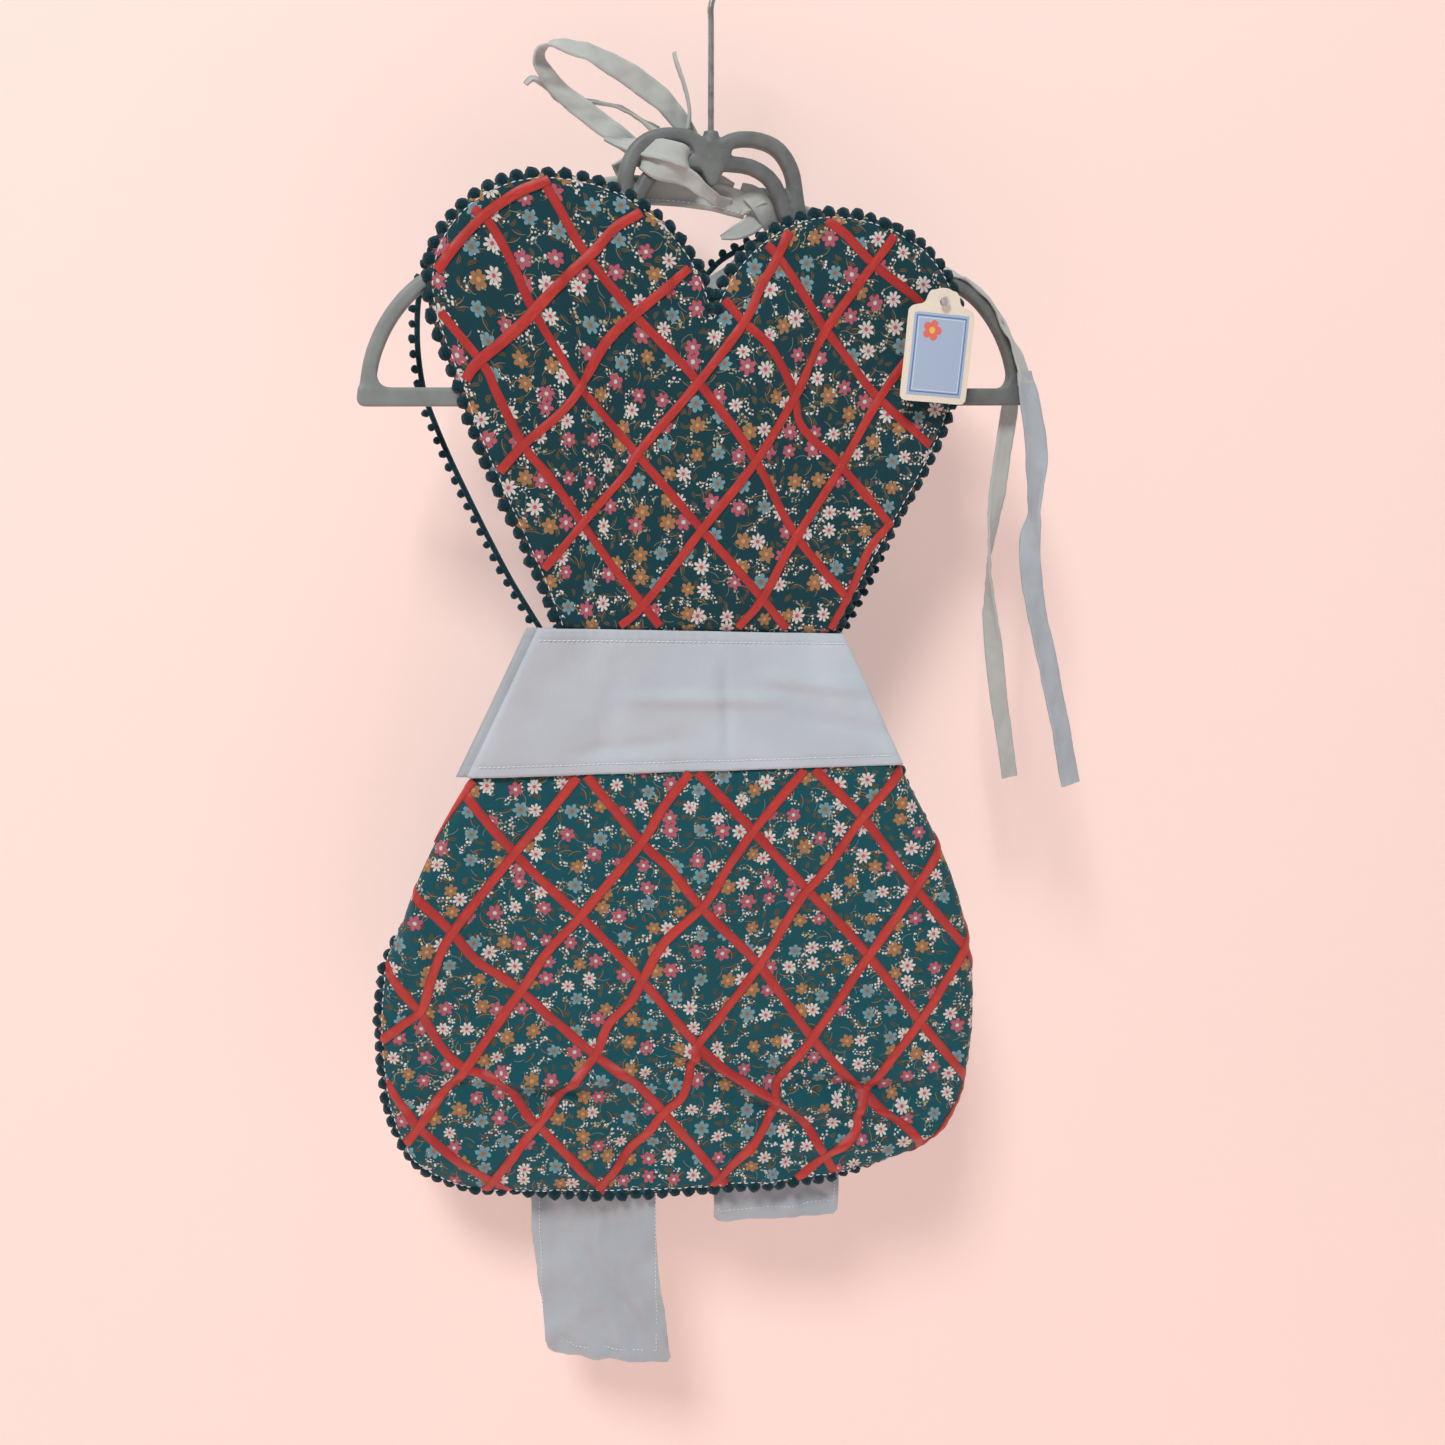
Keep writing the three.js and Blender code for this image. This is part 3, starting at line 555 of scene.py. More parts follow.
def smooth_path(points, step):
    """A Catmull-Rom curve through the points, sampled at even steps, and the steps' lengths."""
    knots = np.array(points, float)
    ends = np.vstack([2 * knots[0] - knots[1], knots, 2 * knots[-1] - knots[-2]])
    spots = []
    for i in range(len(knots) - 1):
        a, b, c, d = ends[i:i + 4]
        t = np.linspace(0, 1, 24, endpoint=False)[:, None]
        spots.append(0.5 * (2 * b + (c - a) * t + (2 * a - 5 * b + 4 * c - d) * t ** 2
                            + (3 * b - 3 * c + d - a) * t ** 3))
    dense = np.vstack(spots + [knots[-1:]])
    gone = np.r_[0, np.cumsum(np.linalg.norm(np.diff(dense, axis=0), axis=1))]
    count = max(2, int(round(gone[-1] / step)) + 1)
    even = np.linspace(0, gone[-1], count)
    path = np.column_stack([np.interp(even, gone, dense[:, k]) for k in range(dense.shape[1])])
    return path, even


def tangents(path):
    """The path's direction at each of its points."""
    along = np.gradient(path, axis=0)
    return along / np.maximum(np.linalg.norm(along, axis=1, keepdims=True), 1e-9)


def loft(rings, capped=True):
    """Faces over closed rings of points: an (n, m, 3) array gives points and faces."""
    n, m = rings.shape[:2]
    faces = []
    for i in range(n - 1):
        for j in range(m):
            k = (j + 1) % m
            faces.append((i * m + j, i * m + k, (i + 1) * m + k, (i + 1) * m + j))
    if capped:
        faces.append(tuple(range(m - 1, -1, -1)))
        faces.append(tuple((n - 1) * m + j for j in range(m)))
    return rings.reshape(-1, 3), faces


def tube(path, across, out, radii, sides):
    """A round rod along a path, from two directions that are square to it."""
    turn = np.linspace(0, TAU, sides, endpoint=False)[None, :, None]
    across, out = (np.broadcast_to(way, path.shape)[:, None, :] for way in (across, out))
    radii = np.broadcast_to(radii, len(path))[:, None, None]
    return loft(path[:, None, :] + radii * (across * np.cos(turn) + out * np.sin(turn)))


def closed_sheet(front, back, faces):
    """A sheet's front, made to face -Y, with its back and its rim."""
    count = len(front)
    a, b, c = front[list(faces[len(faces) // 2])[:3]]
    if np.cross(b - a, c - a)[1] > 0:
        faces = [face[::-1] for face in faces]
    edges = dict.fromkeys((i, j) for face in faces for i, j in zip(face, face[1:] + face[:1]))
    rim = [(j, i, i + count, j + count) for i, j in edges if (j, i) not in edges]
    behind = [tuple(i + count for i in face[::-1]) for face in faces]
    return np.vstack([front, back]), faces + behind + rim


def ripple(u, v, seed, scale, waves=7):
    """Smooth unevenness from -1 to 1 or so, the same each run."""
    rng = np.random.RandomState(seed)
    total = np.zeros_like(u, float)
    for _ in range(waves):
        turn = rng.uniform(0, TAU)
        rate = TAU / scale * rng.uniform(0.6, 1.7)
        total += np.sin((u * math.cos(turn) + v * math.sin(turn)) * rate + rng.uniform(0, TAU))
    return total / math.sqrt(waves)


def joined(parts):
    """Several (points, faces) made into one."""
    verts, faces, base = [], [], 0
    for points, polygons in parts:
        verts.append(points)
        faces.extend(tuple(i + base for i in polygon) for polygon in polygons)
        base += len(points)
    return np.vstack(verts), faces


def ball(detail):
    """An even ball of radius 1, as points and faces."""
    shape = bmesh.new()
    bmesh.ops.create_icosphere(shape, subdivisions=detail, radius=1)
    points = np.array([v.co[:] for v in shape.verts])
    faces = [tuple(v.index for v in f.verts) for f in shape.faces]
    shape.free()
    return points, faces


def pompoms(centres, radius, seed):
    """Tufted yarn balls, each one uneven in its own way."""
    rng = np.random.RandomState(seed)
    unit, faces = ball(2)
    parts = []
    for centre in centres:
        turn = Vector(rng.normal(size=3)).normalized().to_track_quat("Z", "Y").to_matrix()
        shape = unit @ np.array(turn).T
        tuft = 1 + rng.normal(0, 0.05, len(unit)) + 0.06 * ripple(
            shape[:, 0] * 3 + shape[:, 2], shape[:, 1] * 3, int(rng.randint(1e6)), 1.3, 4)
        squeeze = rng.uniform(0.9, 1.06, 3)
        parts.append((centre + shape * (tuft * radius)[:, None] * squeeze, faces))
    return joined(parts)


def stitches(path, facing, length, gap, radius):
    """Short raised threads laid end to end along a row of points."""
    spots, gone = smooth_path(path, 0.8)
    side = np.array([np.interp(gone, np.linspace(0, gone[-1], len(facing)), facing[:, k])
                     for k in range(3)]).T
    share = np.array([0.0, 0.15, 0.5, 0.85, 1.0])
    swell = np.array([0.25, 0.8, 1.0, 0.8, 0.25]) * radius
    rise = np.array([0.0, 0.7, 1.0, 0.7, 0.0]) * radius
    parts = []
    start = gap
    while start + length < gone[-1]:
        at = start + share * length
        line = np.column_stack([np.interp(at, gone, spots[:, k]) for k in range(3)])
        out = np.column_stack([np.interp(at, gone, side[:, k]) for k in range(3)])
        line = line + out * rise[:, None]
        parts.append(tube(line, np.cross(tangents(line), out), out, swell, 6))
        start += length + gap
    return joined(parts)


STRAP_THICK = 1.3
HEM_RISE = 0.35  # extra half thickness in a strap's hems, as a share of its thickness


def strip(points, facings, width, seed, wave):
    """A flat strap along the points. Each point says which way the face looks there."""
    knots = np.array(points, float)
    path, gone = smooth_path(knots, 2.5)
    share = np.linspace(0, 1, len(path))
    at = np.r_[0, np.cumsum(np.linalg.norm(np.diff(knots, axis=0), axis=1))]
    look = np.column_stack([np.interp(share, at / at[-1], np.array(facings, float)[:, k])
                            for k in range(3)])
    along = tangents(path)
    look -= along * np.sum(look * along, axis=1, keepdims=True)
    look /= np.maximum(np.linalg.norm(look, axis=1, keepdims=True), 1e-9)
    across = np.cross(look, along)
    width = np.atleast_1d(width)
    wide = np.interp(share, np.linspace(0, 1, len(width)), width)
    s = np.linspace(-1, 1, 11)
    u = np.repeat(gone[:, None], len(s), 1)
    v = s[None, :] * wide[:, None] / 2
    lift = wave * ripple(u, v * 1.5, seed + 1, 26) + wave * 0.4 * ripple(u, v, seed + 2, 9)
    half = np.tile(STRAP_THICK * (0.5 + HEM_RISE * (np.abs(s) > 0.72)), (len(path), 1))
    half[:, [0, -1]] = STRAP_THICK * 0.3
    middle = (path[:, None, :] + across[:, None, :] * v[..., None]
              + look[:, None, :] * lift[..., None])
    top = middle + look[:, None, :] * half[..., None]
    low = middle - look[:, None, :] * half[..., None]
    cloth = np.stack([v, u], -1)
    cloth = np.concatenate([cloth, cloth[:, ::-1]], axis=1).reshape(-1, 2) * MM
    verts, faces = loft(np.concatenate([top, low[:, ::-1]], axis=1))
    return verts, faces, cloth, gone[-1]


# ---------- the two printed panels ----------
def bezier(a, b, c, d):
    t = np.linspace(0, 1, 22)[:, None]
    a, b, c, d = (np.array(p, float) for p in (a, b, c, d))
    return (1 - t) ** 3 * a + 3 * (1 - t) ** 2 * t * b + 3 * (1 - t) * t ** 2 * c + t ** 3 * d


def ease(value, low, high):
    """0 below low, 1 above high, and smooth between."""
    share = np.clip((value - low) / (high - low), 0, 1)
    return share * share * (3 - 2 * share)


def free_edge(curves, starts_at_middle):
    """The whole free edge, from the left end round to the right, from its right half."""
    half = np.vstack([curves[0]] + [curve[1:] for curve in curves[1:]])
    if not starts_at_middle:
        half = half[::-1]
    left = half[::-1] * [-1, 1]
    return np.vstack([left, half[1:]])


def ridge(x, z, creases):
    """Depth of soft folds along given lines; a positive depth goes back."""
    total = np.zeros_like(x, float)
    for x0, z0, x1, z1, width, depth in creases:
        run = np.array([x1 - x0, z1 - z0])
        reach = np.hypot(*run)
        run = run / reach
        along = (x - x0) * run[0] + (z - z0) * run[1]
        off = (z - z0) * run[0] - (x - x0) * run[1]
        ends = 1 / (1 + np.exp(-(along + 2) / 5)) / (1 + np.exp((along - reach - 2) / 5))
        total += depth * np.exp(-(off / width) ** 2) * ends
    return total


class CutSheet:
    """A cut sheet whose free edge rolls back, with everything that is sewn to it.

    Its flat pattern is drawn in x and z. The seam is its one straight side, at seam_z; radius
    is the edge's roll, and roll(x, z) says how far round it the edge is turned, in radians.
    """

    def __init__(self, edge, seam_z, radius, roll, spread, relief, place, front):
        self.edge = edge
        self.seam_z = seam_z
        self.radius = radius
        self.spread = spread
        self.relief = relief
        self.place = place
        self.front = front
        self.seam_side = np.sign(seam_z - edge[:, 1].mean())
        along = tangents(edge)
        self.out = np.column_stack([along[:, 1], -along[:, 0]]) * self.seam_side
        self.turned = np.array([roll(x, z) for x, z in edge])

    def cut(self, extra):
        """The flat pattern's free edge, let out for the roll."""
        return self.edge + self.out * (self.spread * self.turned + extra)[:, None]

    def nearest(self, flat):
        """The number of the edge's point nearest to each flat point."""
        found = np.empty(len(flat), int)
        for start in range(0, len(flat), 4000):
            part = flat[start:start + 4000]
            away = ((part[:, None, :] - self.edge[None, :, :]) ** 2).sum(-1)
            found[start:start + 4000] = away.argmin(1)
        return found

    def inset(self, flat):
        """How far each point lies inside the pattern's edge."""
        near = self.nearest(flat)
        spread = self.spread * self.turned[near]
        return -((flat - self.edge[near]) * self.out[near]).sum(1) + spread

    def below_seam(self, flat):
        """How far each point lies from the seam, on the sheet's side."""
        return (self.seam_z - flat[:, 1]) * self.seam_side

    def shaped(self, flat):
        """The sheet's own millimetres of flat points: edge rolled back, relief added."""
        near = self.nearest(flat)
        out = self.out[near]
        turned = np.maximum(self.turned[near], 0.02)
        inside = -((flat - self.edge[near]) * out).sum(1)
        past = np.maximum(self.radius - inside, 0)
        angle = past / self.radius * turned
        moved = flat + out * (self.radius * np.sin(angle) / turned - past)[:, None]
        back = self.radius * (1 - np.cos(angle)) / turned
        depth = self.front + back + self.relief(flat[:, 0], flat[:, 1], inside)
        return np.column_stack([moved[:, 0], depth, moved[:, 1]])

    def surface(self, flat, lift):
        """The bar's millimetres of flat points, raised off the cloth by lift, and its facing."""
        flat = np.asarray(flat, float)
        here = self.shaped(flat)
        right = self.shaped(flat + [0.6, 0]) - here
        up = self.shaped(flat + [0, 0.6]) - here
        normal = np.cross(right, up)
        normal /= np.maximum(np.linalg.norm(normal, axis=1, keepdims=True), 1e-9)
        if np.median(normal[:, 1]) > 0:
            normal = -normal
        raised = here + normal * np.reshape(lift, (-1, 1))
        placed = self.place(raised)
        return placed, self.place(raised + normal) - placed

    def outline(self, extra, pitch):
        """The closed cut, sampled at even steps, with the seam's straight end."""
        edge = smooth_path(self.cut(extra), pitch)[0]
        a, b = edge[-1], edge[0]
        count = max(2, int(np.linalg.norm(b - a) / pitch))
        seam = a + (b - a) * np.linspace(0, 1, count + 1)[1:-1, None]
        return np.vstack([edge, seam])

    def sheet(self, extra, pitch):
        """Flat points and triangles that fill the cut."""
        rim = self.outline(extra, pitch)
        low, high = rim.min(0), rim.max(0)
        rows = np.arange(low[1], high[1], pitch * 0.87)
        grid = np.array([(x + (i % 2) * pitch / 2, z) for i, z in enumerate(rows)
                         for x in np.arange(low[0], high[0], pitch)])
        grid = grid[self.below_seam(grid) > pitch * 0.6]
        grid = grid[self.inset(grid) + extra > pitch * 0.6]
        points = [Vector(p) for p in np.vstack([rim, grid])]
        made = delaunay_2d_cdt(points, [], [list(range(len(rim)))], 1, 1e-5)
        flat = np.array([v[:] for v in made[0]])
        return flat, [tuple(face) for face in made[2]]

    def skin(self, extra, pitch, near, far):
        """A closed sheet between two depths behind the cloth's face, both in millimetres."""
        flat, faces = self.sheet(extra, pitch)
        verts, faces = closed_sheet(
            self.surface(flat, -near)[0], self.surface(flat, -far)[0], faces)
        return verts, faces, np.vstack([flat, flat]) * MM

    def ribbon(self, route, width, lift):
        """A raised ribbon along a route in the flat, run out to the cloth's edge."""
        route = np.array(route, float)
        first = route[0] + tangents(route[:2])[0] * -30
        last = route[-1] + tangents(route[-2:])[1] * 30
        path = smooth_path(np.vstack([first, route, last]), 2.5)[0]
        kept = np.flatnonzero((self.inset(path) > 2.2) & (self.below_seam(path) > 1.2))
        run = max(np.split(kept, np.flatnonzero(np.diff(kept) > 1) + 1), key=len)
        path = path[run]
        along = tangents(path)
        normal = np.column_stack([-along[:, 1], along[:, 0]])
        s = np.linspace(-1, 1, 7)
        half = width / 2 * (1 + 0.04 * ripple(path[:, 0], path[:, 1], 5, 30))
        flat = path[:, None, :] + normal[:, None, :] * s[None, :, None] * half[:, None, None]
        crown = np.tile(lift + 0.45 * (1 - s ** 2), (len(path), 1))
        top, low = (self.surface(flat.reshape(-1, 2), rise)[0].reshape(len(path), 7, 3)
                    for rise in (crown.ravel(), 0.02))
        verts, faces = loft(np.concatenate([top, low[:, ::-1]], axis=1))
        gone = np.r_[0, np.cumsum(np.linalg.norm(np.diff(path, axis=0), axis=1))]
        across = np.r_[s, s[::-1]] * width / 2
        cloth = np.stack(np.broadcast_arrays(gone[:, None], across), -1)
        return verts, faces, cloth.reshape(-1, 2) * MM

    def ribbons(self, routes, width):
        """The lattice: (lift, routes) of its lower and its upper layer, in that order."""
        parts, cloth = [], []
        for layer, (lift, group) in enumerate(routes):
            for route in group:
                verts, faces, spots = self.ribbon(route, width, lift)
                parts.append((verts, faces))
                # The upper layer's coordinates are moved past SECOND_LAYER, so satin paints only
                # the lower layer with painted shade.
                cloth.append(spots + [layer * 2 * SECOND_LAYER, 0])
        return (*joined(parts), np.vstack(cloth))

    def edge_row(self, extra, pitch, lift):
        """Even steps along the free edge, let out by extra."""
        return self.surface(smooth_path(self.cut(extra), pitch)[0], lift)

    def tape(self, inner, outer, near, far):
        """The trim's tape, sewn behind the edge."""
        rows = [smooth_path(self.cut(extra), 4.0)[0]
                for extra in (inner, (inner + outer) / 2, outer)]
        count = min(len(row) for row in rows)
        share = np.linspace(0, 1, count)
        flat = np.stack([
            np.column_stack([np.interp(share, np.linspace(0, 1, len(row)), row[:, k])
                             for k in range(2)]) for row in rows], 1).reshape(-1, 2)
        front, back = (self.surface(flat, -depth)[0].reshape(count, 3, 3)
                       for depth in (near, far))
        return loft(np.concatenate([front, back[:, ::-1]], axis=1))


BIB_SEAM = -205.0
TIE_SEAM = -238.0  # height on the bar of the line where the ties are sewn to the waistband


def bib_place(points):
    """From the bib's own millimetres to the bar's: it hangs rolled a little."""
    roll = math.radians(3.5)
    x, y, z = points.T
    return np.column_stack([x * math.cos(roll) + z * math.sin(roll), y,
                            z * math.cos(roll) - x * math.sin(roll) + 60.0])


def bib_shift(x, z):
    """How far the bib's cloth lies from its pattern: drawn in low on the left, let out above."""
    drawn = 10.0 * ease(-z, 8, 70) * ease(-x, 30, 110)
    out = ease(-x, 20, 120) * ease(z, -60, 10)
    return drawn - 5.0 * out, 8.0 * out


def bib_cloth_place(points):
    """From the millimetres of the bib's pattern to the bar's."""
    across, up = bib_shift(points[:, 0], points[:, 2])
    return bib_place(points + np.column_stack([across, 0 * across, up]))


def skirt_place(points):
    """From the skirt's own millimetres to the bar's: its right side is turned forward."""
    yaw = math.radians(-8.5)
    x, y, z = points.T
    return np.column_stack([x * math.cos(yaw) - y * math.sin(yaw) - 17.0,
                            x * math.sin(yaw) + y * math.cos(yaw), z - 235.0])


BIB_EDGE = free_edge([
    bezier((0, -15), (8, 20), (40, 52), (78, 52)),
    bezier((78, 52), (126, 52), (165, 26), (165, -25)),
    bezier((165, -25), (165, -78), (120.5, -140), (93.5, -205)),
], True)
SKIRT_EDGE = free_edge([
    bezier((141, 0), (161, -36), (202, -96), (202, -182)),
    bezier((202, -182), (202, -260), (184, -290), (120, -295)),
    bezier((120, -295), (85, -300.5), (40, -302), (0, -302)),
], False)

# each crease: x and z of its two ends, half width, and depth, positive to the back
BIB_CREASES = [
    (-86, 4, -80, -84, 3.2, 1.6), (70, -18, 62, -66, 3.0, 1.5), (-26, 12, -23, -24, 2.4, 1.3),
    (-150, 20, -128, -90, 9.0, -1.6), (-120, 30, -100, -60, 12.0, 1.4),
    (30, 0, 22, -190, 22.0, -2.2),
    (-58, -60, -70, -190, 16.0, 1.8), (110, 20, 95, -150, 14.0, 1.6), (0, -30, 4, -120, 6.0, 0.9),
]
SKIRT_CREASES = [
    (-4, -196, 78, -246, 5.0, -3.2), (-20, -190, 66, -256, 7.0, 2.4),
    (70, -236, 150, -252, 6.0, -3.0),
    (60, -224, 150, -238, 5.0, 2.2), (-150, -206, -60, -214, 6.0, -2.6),
    (-150, -218, -70, -226, 6.0, 2.0),
    (-60, -214, 10, -196, 7.0, -2.2), (-186, -230, -110, -190, 6.0, 1.8),
    (100, -276, 176, -266, 6.0, -2.2),
    (-110, -40, -130, -170, 20.0, 2.4), (20, -20, 0, -180, 26.0, -2.6),
    (112, -30, 122, -170, 18.0, 1.8),
    (-50, -240, -30, -296, 12.0, 2.2), (40, -262, 60, -298, 10.0, -2.0),
    (-180, -60, -172, -150, 7.0, -2.0),
]

# ribbons, lower layer and upper layer: lift off the cloth, then x and z along each route
BIB_ROUTES = [
    (0.25, [
        [(-150, 38), (-136, 29), (-121, 6), (-110, -17), (-97, -36), (-82, -58), (-64, -76),
         (-43, -97), (0, -141), (41, -182), (62, -204)],
        [(-105, 54), (-96, 41), (-79, 16), (-50, -14), (-8, -51), (32, -97), (63, -143),
         (102, -183)],
        [(-162, -24), (-138, -50), (-129, -67), (-113, -95), (-98, -112), (-77, -139), (-56, -165),
         (-35, -189), (-22, -204)],
        [(8, -4), (18, -14), (37, -29), (54, -54), (60, -72), (71, -83), (89, -96), (126, -133)],
        [(21, 39), (38, 26), (54, 7), (72, -15), (112, -54), (151, -83)],
        [(61, 52), (80, 42), (99, 27), (132, 7), (158, -16)],
    ]),
    (0.75, [
        [(-164, 3), (-142, 30), (-122, 46), (-107, 54)],
        [(-149, -61), (-140, -48), (-110, -17), (-79, 15), (-63, 33), (-46, 44)],
        [(-128, -113), (-113, -95), (-93, -76), (-82, -62), (-66, -33), (-49, -15), (-17, 14)],
        [(-100, -170), (-77, -141), (-50, -110), (-43, -97), (-8, -53), (18, -16), (28, 6),
         (38, 25),
         (48, 50)],
        [(-51, -204), (-35, -189), (0, -141), (32, -97), (55, -57), (72, -16), (89, 10), (100, 26),
         (114, 46)],
        [(26, -204), (41, -184), (53, -161), (63, -143), (89, -100), (112, -55), (126, -32),
         (150, 0)],
        [(92, -200), (102, -179), (113, -150), (126, -133)],
    ]),
]
SKIRT_ROUTES = [
    (0.25, [
        [(-144, -10), (-111, -55), (-71, -97), (-31, -144), (6, -192), (27, -213), (56, -233),
         (81, -257), (103, -296)],
        [(-68, 2), (-30, -48), (-12, -66), (8, -92), (49, -139), (85, -192), (123, -237),
         (158, -268), (166, -286)],
        [(5, 0), (43, -42), (80, -85), (124, -136), (161, -185), (200, -235)],
        [(80, 1), (118, -38), (154, -87), (192, -133), (205, -150)],
        [(-174, -81), (-154, -104), (-137, -128), (-112, -148), (-63, -196), (-40, -214),
         (-16, -243), (23, -296)],
        [(-185, -148), (-176, -161), (-164, -186), (-150, -200), (-127, -212), (-103, -245),
         (-62, -296)],
        [(-192, -226), (-180, -245), (-162, -263), (-138, -284)],
    ]),
    (0.75, [
        [(-150, -18), (-136, -1)],
        [(-190, -168), (-176, -157), (-168, -133), (-154, -104), (-112, -53), (-89, -25),
         (-68, 1)],
        [(-184, -245), (-165, -219), (-150, -202), (-112, -150), (-93, -121), (-71, -97),
         (-31, -49), (-15, -23), (3, 0)],
        [(-134, -286), (-103, -245), (-80, -215), (-63, -196), (-54, -175), (-39, -159),
         (-31, -144), (-15, -116), (10, -91), (28, -62), (43, -42), (61, -21), (80, 1)],
        [(-60, -295), (-20, -245), (-4, -229), (4, -200), (8, -189), (49, -137), (75, -92),
         (88, -77), (102, -58), (118, -35), (141, -6)],
        [(18, -298), (36, -279), (58, -248), (61, -224), (85, -192), (124, -136), (154, -88),
         (173, -56)],
        [(82, -294), (99, -280), (118, -264), (121, -241), (159, -187), (190, -133), (204, -110)],
        [(160, -290), (192, -250), (204, -230)],
    ]),
]


def bib_relief(x, z, inside):
    """Creases, waves and the edge's pucker, calm at the waistband."""
    pucker = np.exp(-(np.maximum(inside, 0) / 8) ** 2) * 0.5 * np.sin(x * 0.52 + z * 0.47)
    calm = np.clip((z + 203) / 12, 0, 1)
    waves = 0.9 * ripple(x, z, 11, 150) + 0.35 * ripple(x, z, 12, 34)
    return calm * (waves + 1.6 * ridge(x, z, BIB_CREASES) + pucker)


def skirt_relief(x, z, inside):
    """Creases, waves that grow towards the hem, and the edge's pucker."""
    lower = np.clip((-z - 140) / 120, 0, 1)
    pucker = np.exp(-(np.maximum(inside, 0) / 9) ** 2) * 0.6 * np.sin(x * 0.41 + z * 0.5)
    return (1.3 * ripple(x, z, 21, 170) + (0.35 + 0.9 * lower) * ripple(x * 0.8, z * 1.4, 22, 46)
            + 2.0 * ridge(x, z, SKIRT_CREASES) + pucker)


def skirt_roll(x, z):
    """How far the skirt's edge turns back: fully at the right and the upper left."""
    if x > 0:
        return float(np.interp(x, [0, 95, 150, 200], [0.12, 0.2, 1.1, 1.2]))
    if z > -250:
        return float(np.interp(z, [-250, -140, -95, 0], [0.5, 0.55, 1.3, 1.4]))
    return float(np.interp(x, [-200, -120, -70, 0], [0.5, 0.55, 0.2, 0.12]))


bib = CutSheet(BIB_EDGE, BIB_SEAM, 7.0, lambda x, z: 0.42, 2.0, bib_relief, bib_cloth_place, -8.9)
skirt = CutSheet(SKIRT_EDGE, 0.0, 11.0, skirt_roll, 9.0, skirt_relief, skirt_place, -9.2)


# ---------- materials, made once and shared ----------
made_finishes = {}


def finishes():
    """The object's finishes by the CAD record's slot names, and a few of their variants."""
    if not made_finishes:
        sizes = bpy.context.scene.apron_sizes
        colours = bpy.context.scene.apron_colours
        made_finishes.update({
            "bib_print": printed_cotton("bib_print", colours.bib_ground, colours, sizes),
            "skirt_print": printed_cotton("skirt_print", colours.skirt_ground, colours, sizes),
            "grey_cotton": plain_cotton("grey_cotton", colours.cotton, sizes, 0.45),
            "strap_cotton": plain_cotton("strap_cotton", colours.strap, sizes, 0.6),
            # The grey cotton at 0.8 of its colour: painted shade for the ties, the waistband's
            # facing and the outer tail.
            "shaded_grey_cotton": plain_cotton("shaded_grey_cotton", tone(colours.cotton, 0.80), sizes, 0.7),
            "thread": plain_cotton("thread", colours.thread, sizes, 0.0),
            "satin_ribbon": satin("satin_ribbon", colours.ribbon),
            "pompom_trim": yarn("pompom_trim", colours.pompom),
            "hanger_plastic": moulded("hanger_plastic", colours.hanger),
            "plated_wire": plated("plated_wire", colours.wire),
            "clear_plastic": clear_plastic("clear_plastic"),
            "tag_board": card_board("tag_board", colours.card),
        })
    return made_finishes


def sizes_mm(name):
    """One of the sidebar's sizes, in millimetres."""
    return getattr(bpy.context.scene.apron_sizes, name) / MM


def make(name, body, slot, built, material=None, replaces=(), sharp=None):
    """One finished piece from (points, faces, cloth) in the bar's millimetres.

    It rides on its body, when it is given one.
    """
    points, faces = built[:2]
    cloth = built[2] if len(built) > 2 else np.asarray(points)[:, [0, 2]] * MM
    finish = finishes()[material or slot]
    piece = mesh_piece(name, to_frame(points), faces, finish, cloth, sharp)
    if body is not None:
        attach(piece, body)
    if replaces:
        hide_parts(*replaces)
    return piece


# ---------- hook ----------
class APRON_OT_hook(bpy.types.Operator):
    """Bend the plated wire into the swivel hook and crimp its collar"""
    bl_idname = "apron.hook"
    bl_label = "Hook"

    def execute(self, context):
        radius, bend = 1.9, 20.0
        collar, high = 135.0, BAR_DROP - 63.0
        middle = BAR_DROP + radius - bend
        turned_end = [(bend * math.cos(a), 0, middle + bend * math.sin(a))
                      for a in np.radians(np.linspace(-30, 205, 16))]
        route = [(0, 0, collar), (0, 0, collar + 25), (0, 0, high - 12), (0, 0, high),
                 (4.5, 0, high + 13), (12.5, 0, middle - 14.2)] + turned_end
        path, _ = smooth_path(route, 1.5)
        side = np.array([0.0, 1.0, 0.0])
        radii = np.full(len(path), radius)
        radii[-3:] = radius * np.array([0.93, 0.7, 0.3])
        wire = tube(path, np.cross(tangents(path), side), side, radii, 20)
        make("hook_wire_bent", "hook", "plated_wire", wire, replaces=["hook_wire"], sharp=50)
        profile = [(2.25, 0), (3.1, 0), (3.4, 0.4), (3.4, 1.5), (3.15, 1.8), (3.15, 2.2),
                   (3.4, 2.5), (3.4, 3.6), (3.1, 4), (2.25, 4)]
        turn = np.linspace(0, TAU, 24, endpoint=False)
        rings = np.array([[(r * math.cos(a), r * math.sin(a), collar + z) for r, z in profile]
                          for a in turn])
        n, m = rings.shape[:2]
        faces = [(i * m + j, (i + 1) % n * m + j, (i + 1) % n * m + (j + 1) % m,
                  i * m + (j + 1) % m)
                 for i in range(n) for j in range(m)]
        make("hook_collar_crimped", "hook", "plated_wire", (rings.reshape(-1, 3), faces),
             replaces=["hook_collar"], sharp=40)
        return {"FINISHED"}


